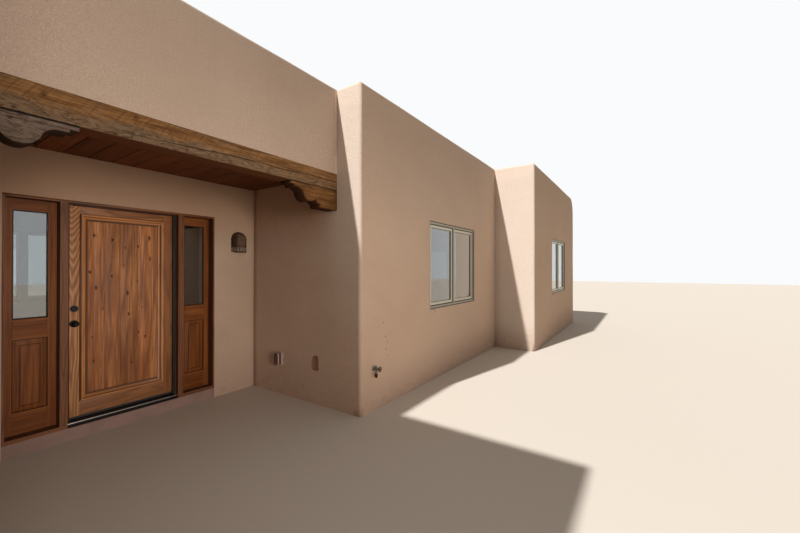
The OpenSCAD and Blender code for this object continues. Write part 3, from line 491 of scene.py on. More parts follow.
# knots that show on the door: place from the bedroom corner, and size
panelKnots = [
    (-1.704, 1.931, 0.008), (-1.55, 1.896, 0.009), (-1.328, 1.842, 0.008), (-1.221, 1.936, 0.009),
    (-1.217, 1.709, 0.008), (-1.736, 1.566, 0.008), (-1.56, 1.523, 0.009), (-1.42, 1.342, 0.01),
    (-1.407, 1.121, 0.009), (-1.318, 0.913, 0.008), (-1.255, 0.856, 0.007), (-1.332, 1.465, 0.005),
    (-1.686, 1.41, 0.01), (-1.718, 0.921, 0.006), (-1.383, 0.597, 0.006), (-1.703, 0.683, 0.007),
    (-1.44, 1.82, 0.005), (-1.29, 1.18, 0.005), (-1.63, 1.2, 0.005), (-1.46, 1.64, 0.006),
]
leafBox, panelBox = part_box("door_leaf"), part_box("door_panel")
sidelight = {"stile": 0.062, "topRail": 0.103, "glassFoot": 1.16, "panelTop": 0.972, "panelFoot": 0.346,
             "slope": 0.047}


def sidelightEdges(side):
    low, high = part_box(side + "_sidelight")
    return low.x + sidelight["stile"], high.x - sidelight["stile"], high.z - sidelight["topRail"]


lightOpenings = []
for left, right, top in (sidelightEdges("west"), sidelightEdges("east")):
    lightOpenings += [((left, 0, sidelight["panelFoot"]), (right, 0, sidelight["panelTop"])),
                      ((left, 0, sidelight["glassFoot"]), (right, 0, top))]
# old stain, painted shade lines and painted highlight lines on each side of the moulding, measured out from
# the panel opening's edge
mouldStainShadeAndHighlight = {
    "West": [(-0.005, 0.009, 0.85), (-0.019, 0.007, -0.4), (-0.034, 0.006, -0.3), (-0.051, 0.012, 0.8)],
    "East": [(0.001, 0.006, 0.6), (-0.018, 0.009, -0.5), (-0.036, 0.01, 0.85), (-0.053, 0.008, -0.45)],
    "Top": [(0.0, 0.004, 0.5), (-0.014, 0.009, -0.35), (-0.024, 0.004, 0.7), (-0.035, 0.008, -0.35),
            (-0.053, 0.01, 0.9)],
    "Foot": [(0.0, 0.004, 0.5), (-0.008, 0.007, -0.6), (-0.02, 0.007, 0.7), (-0.054, 0.01, 0.8)],
}
doorLine, panelOpening, coveWide = (0.165, 0.058, 0.02), [panelBox], 0.06
# old stain and a painted shade line along the panel opening's edge
nearPanel = (panelOpening, [(0.001, 0.0045, 0.75)])
arch = {"middle": (leafBox[0].x + panelBox[0].x) / 2 - 0.014, "blunt": 0.006, "from": 1.05, "zero": 1.014,
        "rise": 8.5, "across": 36.0, "wander": 0.42}
ceiling = {"pitch": 0.184, "joint": 0.003, "arris": 0.0035, "firstJoint": -2.156, "seed": 4}
beamKnots = [(-2.401, 2.616, 0.013), (-1.944, 2.636, 0.015), (-1.612, 2.504, 0.011)]

finish = {
    "stucco": stuccoMaterial(), "plaster": plasterMaterial(), "tiles": tileMaterial(), "roof": roofMaterial(),
    "glass": glassMaterial("coatedPane", (0.24, 0.28, 0.28), 2.25),
    "clearGlass": glassMaterial("clearPane", (0.8, 0.87, 0.89), 2.0),
    "stileWest": wood(
        "archedPine", "Z", (0.6, 0.315, 0.14), (0.48, 0.22, 0.088), (0.19, 0.066, 0.022), ringSize=11,
        plume=0.14, tone=0.0, late=0.62, rough=0.45, foot=0.4, fibre=0.4,
        stain=(panelOpening, [(0.001, 0.005, 0.75)]), arch=arch),
    "doorUp": wood(
        "honeyPine", "Z", (0.38, 0.162, 0.06), (0.27, 0.104, 0.036), doorLine, plume=0.08, late=0.65,
        rough=0.45, foot=0.35, fibre=0.6, stain=nearPanel),
    "railAcross": wood(
        "honeyPineRails", "X", (0.47, 0.215, 0.088), (0.34, 0.142, 0.053), doorLine, ringSize=8, plume=0.1,
        knots=0.12, knotSize=0.04, tone=0.06, late=0.65, fibre=0.6, rough=0.45, foot=0.45, stain=nearPanel),
    "panel": wood(
        "knottyPanel", "Z", (0.8, 0.36, 0.138), (0.38, 0.135, 0.041), (0.15, 0.046, 0.016), rings=11,
        ringSize=8, plume=0.04, tone=0.24, late=0.52, rough=0.46, fibre=0.8, spots=panelKnots,
        grey=((0.19, 0.075, 0.042), 0.0, 0.55), foot=0.5,
        # old stain and a painted shade line inside the panel, along the moulding's foot
        stain=(panelOpening, [(-coveWide - 0.001, 0.005, 0.8)])),
    # painted shade for the door frame's reveals and stops
    "framePaintedShade": wood(
        "paintedShadeFir", "Z", (0.11, 0.036, 0.013), (0.08, 0.026, 0.01), (0.04, 0.013, 0.006), rings=7, late=0.3),
    "framePale": wood(
        "paleFirEdge", "Z", (0.42, 0.21, 0.105), (0.35, 0.165, 0.075), (0.2, 0.08, 0.035), rings=7, late=0.3),
    "boards": wood(
        "ceilingRedwood", "Y", (0.215, 0.07, 0.022), (0.14, 0.043, 0.014), (0.065, 0.02, 0.007), rings=6,
        ringSize=4, plume=0.06, knots=0.12, tone=0.22, rough=0.65, gloss=0.15, across=8.0, late=0.14,
        fibre=0.25, joints=(corner.x + ceiling["firstJoint"], ceiling["pitch"])),
    "logs": wood(
        "peeledLog", "Y", (0.5, 0.31, 0.16), (0.42, 0.24, 0.115), (0.25, 0.13, 0.06), ringSize=5,
        plume=0.14, knots=0.5, knotSize=0.07, rough=0.6, across=8.0),
    "canale": wood(
        "canalePlank", "Y", (0.34, 0.215, 0.13), (0.26, 0.155, 0.09), (0.14, 0.08, 0.045), ringSize=6,
        plume=0.14, rough=0.75, grey=((0.3, 0.27, 0.235), 0.15, 0.75)),
    "beam": sawnWood(
        "sawnGoldenBeam", (0.345, 0.183, 0.074), (0.135, 0.058, 0.02), (0.19, 0.13, 0.083), 0.78, 0.62,
        "portal_beam", (0.15, 0.048, 0.016), beamKnots),
    "eastCorbel": sawnWood(
        "goldenCorbel", (0.28, 0.13, 0.04), (0.1, 0.038, 0.012), (0.14, 0.085, 0.045), 0.2, 0.4,
        "east_corbel", (0.045, 0.018, 0.008), (), 0.006),
    "greyCorbel": sawnWood(
        "greyedCorbel", (0.19, 0.132, 0.09), (0.11, 0.07, 0.044), (0.185, 0.137, 0.108), 0.8, 0.3,
        "west_corbel", (0.035, 0.015, 0.007), (), 0.01),
    "almond": coated(
        "almondFrame", (0.38, 0.34, 0.265), 0.45, wear=0.06, size=9, bump=0.0002,
        second=(0.32, 0.285, 0.215)),
    "sash": coated(
        "paleSash", (0.61, 0.585, 0.47), 0.42, wear=0.05, size=9, bump=0.0002, second=(0.54, 0.51, 0.4)),
    "sealAndGapShade": coated("darkSealAndGapShade", (0.045, 0.036, 0.027), 0.7, wear=0.1, size=30),
    "curb": coated(
        "wornCement", (0.3, 0.195, 0.165), 0.9, wear=0.1, size=7, bump=0.002, second=(0.24, 0.15, 0.125)),
    "rubber": coated("blackSeal", (0.012, 0.012, 0.013), 0.6, wear=0.1),
    "bronze": coated("darkBronze", (0.02, 0.016, 0.014), 0.34, 0.6, wear=0.07),
    "blackMetal": coated("blackHardware", (0.009, 0.009, 0.01), 0.42, size=60, gloss=0.2),
    "silver": coated("millAluminium", (0.62, 0.62, 0.61), 0.36, 0.9, size=25),
    "galvanised": coated("galvanisedSheet", (0.42, 0.43, 0.44), 0.45, 0.8, wear=0.12, size=18),
    "sconce": sconceMaterial(),
    "plate": coated("paintedPlate", (0.27, 0.145, 0.1), 0.5, wear=0.06, size=12),
    "cover": coated("fadedCover", (0.115, 0.062, 0.044), 0.5, size=12),
    "paleCover": coated("coverEdgeHighlight", (0.6, 0.47, 0.4), 0.5, wear=0.05, size=12),
    "tapBody": coated(
        "dullTapBrass", (0.22, 0.195, 0.16), 0.4, 0.4, wear=0.15, size=45, second=(0.05, 0.038, 0.026)),
    "tapWheel": coated(
        "olivePaint", (0.016, 0.014, 0.01), 0.6, wear=0.15, size=70, second=(0.04, 0.022, 0.012), gloss=0.1),
    "tapRust": coated("rustySpout", (0.06, 0.022, 0.011), 0.7, wear=0.14, size=70, gloss=0.1),
}
for key, stains in mouldStainShadeAndHighlight.items():
    finish["mould" + key] = wood(
        "moulding" + key, "Z" if key in ("West", "East") else "X", (0.6, 0.25, 0.078), (0.42, 0.158, 0.046),
        doorLine, rings=7, plume=0.08, tone=0.05, late=0.45, rough=0.4, foot=0.6,
        stain=(panelOpening, stains))
for key, way in (("Up", "Z"), ("Across", "X")):
    finish["light" + key] = wood(
        "amberPinelight" + key, way, (0.325, 0.106, 0.023), (0.21, 0.059, 0.011), (0.1, 0.027, 0.006),
        rings=8, ringSize=8, plume=0.035, tone=0.08, late=0.45, fibre=0.55, rough=0.46, foot=0.3, gloss=0.2,
        # painted shade lines with old stain at the openings' edges and the slope's foot, and a painted
        # highlight line just outside
        stain=(lightOpenings, [(0.001, 0.006, 0.85), (0.01, 0.006, -0.3), (-sidelight["slope"], 0.006, 0.7)]))
    finish["frame" + key] = wood(
        "frameFirframe" + key, way, (0.27, 0.108, 0.044), (0.195, 0.074, 0.03), (0.09, 0.032, 0.013),
        late=0.6, fibre=0.6)
print("materials made:", len(finish))


def outward(bm):
    bmesh.ops.recalc_face_normals(bm, faces=bm.faces)
    return bm


def newPiece(name, bm, sharp, materials, body=house, node=None):
    mesh = bpy.data.meshes.new(name)
    bm.to_mesh(mesh)
    bm.free()
    mesh.shade_smooth()
    mesh.set_sharp_from_angle(angle=math.radians(sharp))
    for key in materials:
        mesh.materials.append(finish[key])
    piece = addToScene(name, mesh)
    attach(piece, body)
    if node:
        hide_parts(node)


def copyOf(node):
    bm = bmesh.new()
    bm.from_mesh(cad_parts[node].data)
    bmesh.ops.remove_doubles(bm, verts=bm.verts, dist=2e-5)
    return bm


def cutAcross(bm, axis, place, **sides):
    way = Vector([float(i == axis) for i in range(3)])
    whole = bm.verts[:] + bm.edges[:] + bm.faces[:]
    bmesh.ops.bisect_plane(bm, geom=whole, dist=1e-5, plane_co=way * place, plane_no=way, **sides)


def places(verts):
    return np.array([v.co for v in verts])


def limits(verts):
    return Vector(places(verts).min(0)), Vector(places(verts).max(0))


def cutIntoGrid(bm, step):
    low, high = limits(bm.verts)
    for axis in range(3):
        for k in range(math.ceil((low[axis] + 0.02) / step), math.floor((high[axis] - 0.02) / step) + 1):
            cutAcross(bm, axis, k * step)


def solidBoxes(node):
    # the box round each solid of a node that holds several
    bm = copyOf(node)
    left, found = set(bm.verts), []
    while left:
        group, queue = [], [left.pop()]
        while queue:
            v = queue.pop()
            group.append(v)
            beside = {e.other_vert(v) for e in v.link_edges} & left
            left -= beside
            queue += beside
        found.append(limits(group))
    bm.free()
    return sorted(found, key=lambda box: tuple(round(c, 3) for c in box[0]))


def boardSet(name, boards, arris, materials, body, node=None, seed=1):
    # boards: list of (low, high) or (low, high, material index)
    random.seed(seed)
    bm = bmesh.new()
    layer = bm.verts.layers.float.new("boardTone")
    for low, high, *index in boards:
        tone, before = random.random(), set(bm.faces)
        low, high = Vector(low), Vector(high)
        cube = bmesh.ops.create_cube(bm, size=1.0)["verts"]
        for v in cube:
            v.co = (low + high) / 2 + v.co * (high - low)
        edges = list({e for v in cube for e in v.link_edges})
        bmesh.ops.bevel(bm, geom=edges, offset=arris, segments=2, affect="EDGES", profile=0.6)
        for f in set(bm.faces) - before:
            f.material_index = index[0] if index else 0
            for v in f.verts:
                v[layer] = tone
    newPiece(name, outward(bm), 40, materials, body, node)


def changed(box, **changes):
    low, high = box[0].copy(), box[1].copy()
    for key, value in changes.items():
        (low if key.startswith("low") else high)["xyz".index(key[-1])] = value
    return low, high


def loft(bm, rings, closed=False):
    # joins rings of points, with a face at each end unless the last ring joins the first
    made = [[bm.verts.new(spot) for spot in ring] for ring in rings]
    for first, second in zip(made, made[1:] + (made[:1] if closed else [])):
        for i in range(len(first)):
            bm.faces.new((first[i - 1], first[i], second[i], second[i - 1]))
    if not closed:
        bm.faces.new(made[0])
        bm.faces.new(made[-1][::-1])


# each wall's axis and side that face out; a hand-floated coat has slight waves there
front, rear, west, east = (1, -1), (1, 1), (0, -1), (0, 1)
outwardFaces = {
    "wing_front_wall": front, "wing_west_wall": west, "wing_east_wall": east, "entry_west_pier": front,
    "entry_east_pier": front, "entry_lintel_wall": front, "portal_parapet": front, "bedroom_west_wall": west,
    "bedroom_front_wall": front, "end_west_wall": west, "end_front_wall": front, "east_wall": east,
    "rear_wall": rear,
}
roofTop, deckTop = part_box("roofing")[1].z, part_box("roof_deck")[1].z
stillBoxes = [box for node in ("front_window_frames", "other_window_frames", "canales", "west_corbel",
                               "east_corbel", "portal_beam", "door_frame", "door_threshold", "wall_sconce",
                               "outlet_cover", "wall_plate", "hose_bib", "portal_ceiling")
              for box in solidBoxes(node)]


def fadeNear(spots):
    share = np.ones(len(spots))
    for low, high in stillBoxes:
        gap = np.maximum(np.maximum(np.array(low) - spots, spots - np.array(high)), 0)
        near = np.clip((np.linalg.norm(gap, axis=1) - 0.015) / stucco["fade"], 0, 1)
        share = np.minimum(share, near * near * (3 - 2 * near))
    return share


def stuccoWall(node):
    axis, side = outwardFaces[node]
    bm = copyOf(node)
    low, high = limits(bm.verts)
    face = high[axis] if side > 0 else low[axis]
    cutIntoGrid(bm, stucco["gridStep"])
    cutAcross(bm, axis, face - side * stucco["skin"])
    # rounded corners end at a line of their own, so that their shading stays on them
    across, rim = 1 - axis, stucco["corner"]
    for way, place in ((across, low[across] + rim), (across, high[across] - rim), (2, high.z - rim)):
        cutAcross(bm, way, place)
    spots = places(bm.verts)
    over = np.clip((spots[:, 2] - roofTop - 0.02) / 0.15, 0, 1)
    shares = np.where(np.abs(spots[:, axis] - face) < stucco["coat"], 1.0, over) * fadeNear(spots)
    offsets = [Vector((3.7, 1.1, 8.3)), Vector((11.2, 5.9, 2.4)), Vector((6.1, 14.7, 9.6))]
    for v, share in zip(bm.verts, shares):
        if share > 0:
            push = Vector((0, 0, 0))
            for wave in ("swell", "ripple"):
                size = stucco[wave + "Size"]
                push += Vector([noise.noise(v.co / size + o) for o in offsets]) * stucco[wave]
            push.z *= min(1.0, max(0.0, v.co.z) / 0.4)
            v.co += push * share
    for f in bm.faces:
        middle = f.calc_center_median()
        f.material_index = int(abs(middle[axis] - face) > stucco["skin"] and middle.z < deckTop)
    newPiece(node.replace("_wall", "") + "_stucco", bm, 34, ["stucco", "plaster"], house, node)


for node in outwardFaces:
    stuccoWall(node)
print("stucco walls made")


# old beam: each drying check is a line of (x, z) from the bedroom corner, and how deep and wide it opens
beam = {
    "edge": 0.004, "station": 0.04, "sway": 0.003,
    "checks": [
        ([(-0.56, 2.494), (-0.25, 2.489), (0.02, 2.482)], 0.014, 0.004),
        ([(-1.92, 2.516), (-1.62, 2.53), (-1.2, 2.556), (-0.93, 2.561), (-0.71, 2.556), (-0.43, 2.574),
          (0.02, 2.578)], 0.028, 0.0068),
    ],
}


def along(line, x):
    for (x0, z0), (x1, z1) in zip(line, line[1:]):
        if x0 <= x <= x1:
            return z0 + (z1 - z0) * (x - x0) / (x1 - x0)
    return line[0][1] if x < line[0][0] else line[-1][1]


def beamSection(x, low, high):
    # (y, z) up the front with its open checks, then round the top, the back and the underside
    r, planX, base = beam["edge"], x - corner.x, low.z + beam["edge"]
    ring = []
    for line, deep, wide in beam["checks"]:
        share = max(0.0, min(1.0, (planX - line[0][0]) / 0.25, (line[-1][0] + 0.1 - planX) / 0.1))
        share *= 0.65 + 0.35 * noise.noise(Vector((x * 5, 2.2, 0)))
        z = along(line, planX) + 0.003 * noise.noise(Vector((x * 9, deep * 900, 4)))
        wide, deep = wide * share, deep * share
        ring += [(low.y, base + (z - wide - base) * i / 4) for i in range(5)]
        lip, third = low.y + deep * 0.7, wide * 0.3
        ring += [(lip, z - third), (low.y + deep, z), (lip, z + third)]
        base = z + wide
    y0, y1, z0, z1 = low.y + r, high.y - r, low.z + r, high.z - r
    ring += [(low.y, base + (z1 - base) * i / 5) for i in range(6)]
    turns = [(y0, z1), (y1, z1), (y1, z0), (y0, z0)]
    for k, (y, z) in enumerate(turns):
        angles = [math.pi * (1 - k / 2 - i / 6) for i in (1, 2, 3)]
        rounds = [(r * math.cos(a), r * math.sin(a)) for a in angles]
        ring += [(y + dy, z + dz) for dy, dz in rounds[:2]]
        if k < 3:
            (nextY, nextZ), (dy, dz) = turns[k + 1], rounds[2]
            ring += [(y + dy + (nextY - y) * i / 9, z + dz + (nextZ - z) * i / 9) for i in range(10)]
    return ring


def sawnBeam():
    low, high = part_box("portal_beam")
    middle = (low + high) / 2
    west, east = [spot.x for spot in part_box("portal_parapet")]
    stations = int((high.x - low.x) / beam["station"])
    rings = []
    for k in range(stations + 1):
        x = low.x + (high.x - low.x) * k / stations
        free = max(0.0, min(1.0, (x - west) / 0.05, (east - x) / 0.05))  # its ends in the walls stay straight
        ring = []
        for y, z in beamSection(x, low, high):
            out = Vector((0, y - middle.y, z - middle.z)).normalized()
            push = beam["sway"] * noise.noise(Vector((x * 2.2, y * 6, z * 6)))
            ring.append(Vector((x, y, z)) + out * push * free)
        rings.append(ring)
    bm = bmesh.new()
    loft(bm, rings)
    newPiece("sawn_beam", outward(bm), 32, ["beam"], house, "portal_beam")


def carvedCorbel(node, material, seed):
    bm = copyOf(node)
    bmesh.ops.dissolve_limit(bm, angle_limit=math.radians(1), verts=bm.verts, edges=bm.edges)
    crisp = [e for e in bm.edges if len(e.link_faces) == 2 and e.calc_face_angle() > math.radians(30)]
    bmesh.ops.bevel(bm, geom=crisp, offset=0.0035, segments=2, affect="EDGES", clamp_overlap=True)
    cutIntoGrid(bm, 0.05)
    outward(bm).normal_update()
    top = max(v.co.z for v in bm.verts)
    shift = Vector((seed, 0, 0))
    pushes = [v.normal * 0.0022 * noise.noise(v.co * 5 + shift) * min(1.0, (top - v.co.z) / 0.03)
              for v in bm.verts]
    for v, push in zip(bm.verts, pushes):
        v.co += push
    newPiece(node.replace("corbel", "carved_corbel"), bm, 32, [material], house, node)


sawnBeam()
carvedCorbel("west_corbel", "greyCorbel", 3.3)
carvedCorbel("east_corbel", "eastCorbel", 7.9)
print("beam and corbels made")


def startTree(name, lengths, **others):
    tree = bpy.data.node_groups.new(name, "GeometryNodeTree")
    bench["tree"], face = tree, tree.interface
    face.new_socket("Geometry", in_out="OUTPUT", socket_type="NodeSocketGeometry")
    inputs = {**dict.fromkeys(lengths, "Float"), **others, "Finish": "Material"}
    ports = {key: face.new_socket(key, in_out="INPUT", socket_type="NodeSocket" + kind).identifier
             for key, kind in inputs.items()}
    return tree, ports, tree.nodes.new("NodeGroupInput").outputs


def roundedSection(width, height, radius):
    section = put("GeometryNodeCurvePrimitiveQuadrilateral", {"Width": width, "Height": height})[0]
    return put("GeometryNodeFilletCurve", {"Curve": section, "Radius": radius, "Limit Radius": True})[0]


def endTree(geometry, material):
    real = put("GeometryNodeRealizeInstances", {"Geometry": geometry})[0]
    put("NodeGroupOutput", {0: put("GeometryNodeSetMaterial", {"Geometry": real, "Material": material})[0]})


def grow(tree, ports, values):
    # runs a node tree on an empty mesh and keeps the result as a plain mesh
    carrier = addToScene("carrier", bpy.data.meshes.new("carrier"))
    modifier = carrier.modifiers.new("grow", "NODES")
    modifier.node_group = tree
    for key, value in values.items():
        modifier[ports[key]] = value
    bpy.context.view_layer.update()
    mesh = bpy.data.meshes.new_from_object(carrier.evaluated_get(bpy.context.evaluated_depsgraph_get()))
    bpy.data.objects.remove(carrier)
    return mesh


def boardRowTree():
    lengths = ["Pitch", "Width", "Length", "Thickness", "Arris"]
    tree, ports, given = startTree("boardRow", lengths, Count="Int", Start="Vector", Seed="Int")
    eased = roundedSection(given["Width"], given["Thickness"], given["Arris"])
    end = put("CombineXYZ", {"Y": given["Length"]})[0]
    run = put("GeometryNodeCurvePrimitiveLine", {"Start": (0, 0, 0), "End": end})[0]
    run = put("GeometryNodeSetCurveNormal", {"Curve": run})[0]
    board = put("GeometryNodeCurveToMesh", {"Curve": run, "Profile Curve": eased, "Fill Caps": True})[0]
    step = put("CombineXYZ", {"X": given["Pitch"]})[0]
    row = {"Count": given["Count"], "Start Location": given["Start"], "Offset": step}
    row = put("GeometryNodeMeshLine", row)[0]
    placed = put("GeometryNodeInstanceOnPoints", {"Points": row, "Instance": board})[0]
    chance = put("FunctionNodeRandomValue", {"Seed": given["Seed"]}, data_type="FLOAT")[1]
    toned = put("GeometryNodeStoreNamedAttribute", {"Geometry": placed, "Name": "boardTone", "Value": chance},
                data_type="FLOAT", domain="INSTANCE")
    endTree(toned[0], given["Finish"])
    return tree, ports


def boardCeiling():
    low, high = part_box("portal_ceiling")
    tree, ports = boardRowTree()
    pitch, first = ceiling["pitch"], corner.x + ceiling["firstJoint"]
    first -= pitch * math.ceil((first - low.x) / pitch)
    bm = bmesh.new()
    bm.from_mesh(grow(tree, ports, {
        "Count": math.ceil((high.x - first) / pitch), "Pitch": pitch, "Width": pitch - ceiling["joint"],
        "Length": high.y - low.y, "Thickness": high.z - low.z, "Arris": ceiling["arris"],
        "Seed": ceiling["seed"], "Finish": finish["boards"],
        "Start": (first + pitch / 2, low.y, (low.z + high.z) / 2)}))
    bmesh.ops.remove_doubles(bm, verts=bm.verts, dist=1e-6)
    outward(bm)
    # the first and last board are ripped to fit between the walls
    for edge, side in ((low.x, "clear_inner"), (high.x, "clear_outer")):
        cutAcross(bm, 0, edge, **{side: True})
        bmesh.ops.holes_fill(bm, edges=[e for e in bm.edges if e.is_boundary], sides=0)
    newPiece("board_ceiling", bm, 35, ["boards"], house, "portal_ceiling")


boardCeiling()
print("ceiling made")

entry = {
    "panelJoints": [0.112, 0.199, 0.329, 0.491, 0.635], "jointGap": 0.0008, "panelArris": 0.0016,
    "frameArris": 0.0012, "head": 0.024, "wayHalf": 0.4775, "stopHalf": 0.454, "stopFront": 0.065,
    "stopDrop": 0.008, "paleEdge": 0.014, "sealThick": 0.002, "stripHigh": 0.005,
}


def doorLeaf():
    inLow, inHigh = panelBox
    arris = entry["frameArris"]
    stiles = [(*changed(leafBox, highx=inLow.x), 0), (*changed(leafBox, lowx=inHigh.x), 1)]
    boardSet("door_stiles", stiles, arris, ["stileWest", "doorUp"], door, "door_leaf", 21)
    rails = changed(leafBox, lowx=inLow.x, highx=inHigh.x)
    rails = [changed(rails, highz=inLow.z), changed(rails, lowz=inHigh.z)]
    boardSet("door_rails", rails, arris, ["railAcross"], door, None, 22)
    edges = [inLow.x] + [inLow.x + x for x in entry["panelJoints"]] + [inHigh.x]
    gap = entry["jointGap"] / 2
    boards = [changed(panelBox, lowx=a + gap, highx=b - gap) for a, b in zip(edges, edges[1:])]
    boardSet("panel_boards", boards, entry["panelArris"], ["panel"], door, "door_panel", 2576)


def grainSplit(node, name, zone, cuts, materials, sharp=35, body=house):
    # a copy of a node, cut where its members meet, so that each shows its own way of the grain
    bm = copyOf(node)
    for axis, place in cuts:
        cutAcross(bm, axis, place)
    for f in bm.faces:
        f.material_index = int(zone(f.calc_center_median()))
    newPiece(name, bm, sharp, materials, body, node)


def mouldingRings():
    low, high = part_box("door_moulding")
    centre, half = (low + high) / 2, (high - low) / 2

    def zone(c):
        if half.z - abs(c.z - centre.z) < half.x - abs(c.x - centre.x):
            return 2 if c.z > centre.z else 3
        return 0 if c.x < centre.x else 1

    woods = ["mould" + key for key in mouldStainShadeAndHighlight]
    grainSplit("door_moulding", "moulding_rings", zone, [], woods, 28, door)


def doorFrame():
    # painted shade on the reveals and the stops, with a paler edge beside the stops
    low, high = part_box("door_frame")
    middle, skin = (low.x + high.x) / 2, 0.001
    head, foot = high.z - entry["head"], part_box("floor_slab")[1].z
    stop = low.y + entry["stopFront"]
    pale = stop - entry["paleEdge"]

    def zone(c):
        if low.y + skin < c.y < high.y - skin:
            off = abs(c.x - middle)
            if abs(off - entry["wayHalf"]) < skin and foot < c.z < head:
                return 3 if pale < c.y < stop and c.x > middle else 2
            if off < high.x - middle - skin and low.z + skin < c.z < high.z - skin:
                return 2  # the stops, and the reveals beside the sidelights
        return 1 if c.z > head or c.z < foot else 0

    woods = ["frameUp", "frameAcross", "framePaintedShade", "framePale"]
    cuts = [(2, head), (2, foot), (1, pale), (1, stop)]
    grainSplit("door_frame", "frame_members", zone, cuts, woods)


def sidelights():
    foot, top = sidelight["panelFoot"], sidelight["panelTop"]
    for side in ("west", "east"):
        left, right, glassTop = sidelightEdges(side)
        name, woods = side + "_sidelight", ["lightUp", "lightAcross"]
        grainSplit(name, name + "_sash", lambda c: left < c.x < right and not foot < c.z < top,
                   [(0, left), (0, right), (2, top), (2, foot)], woods, 8)


def seals():
    # a broad black seal on the front of the hinge side's stop, and a thin one under the head's; both also
    # stand in as painted shade for the gaps there
    low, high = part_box("door_frame")
    middle, thick = (low.x + high.x) / 2, entry["sealThick"]
    front, back = low.y + entry["stopFront"] - thick, leafBox[0].y - 0.0035
    foot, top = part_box("door_threshold")[1].z + 0.0005, high.z - entry["head"] - entry["stopDrop"]
    hinge = middle + entry["stopHalf"] - thick
    boards = [((hinge, front, foot), (middle + entry["wayHalf"] - 0.002, back, top + 0.004)),
              ((middle - entry["stopHalf"] + 0.001, back - 0.006, top - 0.004), (hinge, back, top + 0.001))]
    boardSet("door_seals_and_gap_shade", boards, 0.0008, ["rubber"], house, None)


sill = {
    # section: y in from the front, share of its height; and how wide it is round the stops
    "section": [(0.0, 0.3), (0.006, 0.36), (0.02, 0.42), (0.022, 0.74), (0.03, 0.86), (0.06, 0.93),
                (0.09, 1.0), (0.125, 1.0), (0.13, 0.9), (0.145, 0.9)],
    "zones": [(0.0, 0.065, 0.4775), (0.065, 0.095, 0.454), (0.095, 0.145, 0.462)],
    "strip": (0.016, 0.034, 0.74),
}


def threshold():
    low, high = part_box("door_threshold")
    rise, middle, section = high.z - low.z, (low.x + high.x) / 2, sill["section"]
    bm = bmesh.new()
    for near, far, half in sill["zones"]:
        tops = [(near, along(section, near))] + [spot for spot in section if near < spot[0] < far]
        shape = [(near, 0.0)] + tops + [(far, along(section, far)), (far, 0.0)]
        loft(bm, [[(middle + x, low.y + y, low.z + z * rise) for y, z in shape] for x in (-half, half)])
    newPiece("door_sill", outward(bm), 20, ["bronze"], house, "door_threshold")
    front, back, share = sill["strip"]
    z = low.z + share * rise
    strip = [((low.x, low.y + front, z), (high.x, low.y + back, z + entry["stripHigh"]))]
    boardSet("sill_strip", strip, 0.001, ["silver"], house, None)


doorLeaf()
mouldingRings()
doorFrame()
sidelights()
seals()
threshold()
print("door set made")

# dark seals round every pane; round each sash a dark ring is painted shade for the gap, and round each frame
# it is sealant and a painted shadow line;
# all swept along its edge by a node tree: how far in from the piece's edge the seal's middle runs, its width,
# how far it stands out, how deep it goes
glazing = {"round": 0.0015, "pane": (0.0035, 0.007, 0.004, None), "sash": (0.004, 0.018, 0.0015, 0.01),
           "frame": (0.0055, 0.011, 0.008, 0.002)}


def sealTree():
    tree, ports, given = startTree("glazingSeal", ["Width", "Height", "SealWidth", "SealDepth", "Rounding"])
    sockets = {"Width": given["Width"], "Height": given["Height"]}
    path = put("GeometryNodeCurvePrimitiveQuadrilateral", sockets)[0]
    eased = roundedSection(given["SealWidth"], given["SealDepth"], given["Rounding"])
    swept = put("GeometryNodeCurveToMesh", {"Curve": path, "Profile Curve": eased, "Fill Caps": False})[0]
    endTree(swept, given["Finish"])
    return tree, ports


def glazingSeals(name, node, kind, material):
    tree, ports = sealTree()
    inset, wide, out, deep = glazing[kind]
    bm = bmesh.new()
    for low, high in solidBoxes(node):
        size, centre = high - low, (low + high) / 2
        thin = 0 if size.x < size.y else 1
        ring = grow(tree, ports, {
            "Width": size[1 - thin] - 2 * inset, "Height": size.z - 2 * inset, "SealWidth": wide,
            "SealDepth": out + deep if deep else size[thin] + 2 * out, "Rounding": glazing["round"],
            "Finish": finish[material]})
        if deep:  # only on the side that faces out of the house
            way = -1 if centre[thin] < (cadBox[0][thin] + cadBox[1][thin]) / 2 else 1
            centre[thin] += way * (size[thin] / 2 + (out - deep) / 2)
        turn = Matrix.Rotation(math.pi / 2, 4, "X")
        if thin == 0:
            turn = Matrix.Rotation(math.pi / 2, 4, "Z") @ turn
        ring.transform(Matrix.Translation(centre) @ turn)
        bm.from_mesh(ring)
    bmesh.ops.remove_doubles(bm, verts=bm.verts, dist=1e-6)
    newPiece(name, outward(bm), 35, [material], house, None)


for side in ("front", "other"):
    glazingSeals(side + "_glazing_seals", side + "_window_glass", "pane", "rubber")
    glazingSeals(side + "_sash_gap_shade", side + "_window_sashes", "sash", "sealAndGapShade")
    glazingSeals(side + "_frame_seal_and_shade", side + "_window_frames", "frame", "sealAndGapShade")
glazingSeals("sidelight_seals", "sidelight_glass", "pane", "rubber")
print("window seals made")

# upturned flashing round the inside of the parapets, and metal liners in the canales
roofEdge = {"up": 0.2, "down": 0.1, "thick": 0.012, "plank": 0.025, "sheet": 0.002}


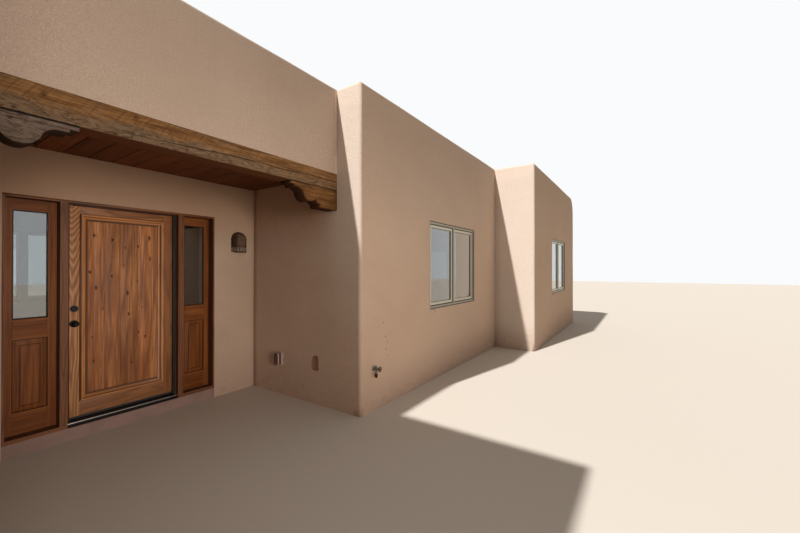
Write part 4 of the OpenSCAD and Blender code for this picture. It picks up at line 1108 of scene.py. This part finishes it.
def flashing():
    # follows the deck's own outline
    bm = copyOf("roof_deck")
    bmesh.ops.dissolve_limit(bm, angle_limit=math.radians(1), verts=bm.verts, edges=bm.edges)
    top = max(bm.faces, key=lambda f: (round(f.calc_center_median().z, 3), f.calc_area()))
    turns = [v.co.copy() for v in top.verts]
    bm.free()
    low, high, thick = deckTop + roofEdge["down"], roofTop + roofEdge["up"], roofEdge["thick"]
    rings = []
    for inset, z in ((0, low), (0, high), (thick * 0.6, high), (thick, high - 0.012), (thick, low)):
        ring = []
        for i, spot in enumerate(turns):
            before = (spot - turns[i - 1]).normalized()
            after = (turns[(i + 1) % len(turns)] - spot).normalized()
            ring.append((spot.x - (before.y + after.y) * inset, spot.y + (before.x + after.x) * inset, z))
        rings.append(ring)
    bm = bmesh.new()
    loft(bm, rings, True)
    newPiece("roof_flashing", outward(bm), 30, ["roof"], house, None)


def canaleLiners():
    bm = bmesh.new()
    plank, sheet = roofEdge["plank"], roofEdge["sheet"]
    for low, high in solidBoxes("canales"):
        x0, x1, z0, z1 = low.x + plank, high.x - plank, low.z + plank, high.z + sheet
        ring = [(x0, z1), (x0, z0), (x1, z0), (x1, z1), (x1 - sheet, z1), (x1 - sheet, z0 + sheet),
                (x0 + sheet, z0 + sheet), (x0 + sheet, z1)]
        loft(bm, [[(x, y, z) for x, z in ring] for y in (low.y + 0.002, high.y + 0.004)])
    newPiece("canale_liners", outward(bm), 20, ["galvanised"], house, None)


flashing()
canaleLiners()
print("roof edge made")

# fittings that show more than one finish
fittings = {"wheel": 0.01, "spout": 0.046, "lid": 0.012, "flange": 0.021}


def hoseBib():
    low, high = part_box("hose_bib")
    wheel, spout = low.y + fittings["wheel"], low.z + fittings["spout"]
    grainSplit("hose_bib", "garden_tap", lambda c: 1 if c.y < wheel else 2 if c.z < spout else 0,
               [(1, wheel), (2, spout)], ["tapBody", "tapWheel", "tapRust"])


def outletCover():
    # its side toward the garden has a painted highlight on the edge at the lid and another at the wall
    low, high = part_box("outlet_cover")
    lid, flange = low.x + fittings["lid"], high.x - fittings["flange"]
    grainSplit("outlet_cover", "outlet_box", lambda c: c.x > flange or low.x + 0.0005 < c.x < lid,
               [(0, lid), (0, flange)], ["cover", "paleCover"])


hoseBib()
outletCover()

# finishes for the nodes that stay as they are
stays = {
    "tiles": ["floor_slab"], "curb": ["entry_curb"], "logs": ["vigas", "roof_deck", "portal_joists"],
    "roof": ["roofing"], "canale": ["canales"], "clearGlass": ["sidelight_glass"], "plate": ["wall_plate"],
    "blackMetal": ["door_knob", "deadbolt"], "rubber": ["door_sweep"], "sconce": ["wall_sconce"],
    "bronze": ["jamb_hinges", "leaf_hinges"], "almond": ["front_window_frames", "other_window_frames"],
    "sash": ["front_window_sashes", "other_window_sashes"],
    "glass": ["front_window_glass", "other_window_glass"],
}
for key, nodes in stays.items():
    for node in nodes:
        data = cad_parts[node].data
        data.materials.clear()
        data.materials.append(finish[key])
print("nodes with a finish of their own:", sum(len(nodes) for nodes in stays.values()))

scene.view_settings.view_transform = "Standard"
bpy.context.view_layer.update()
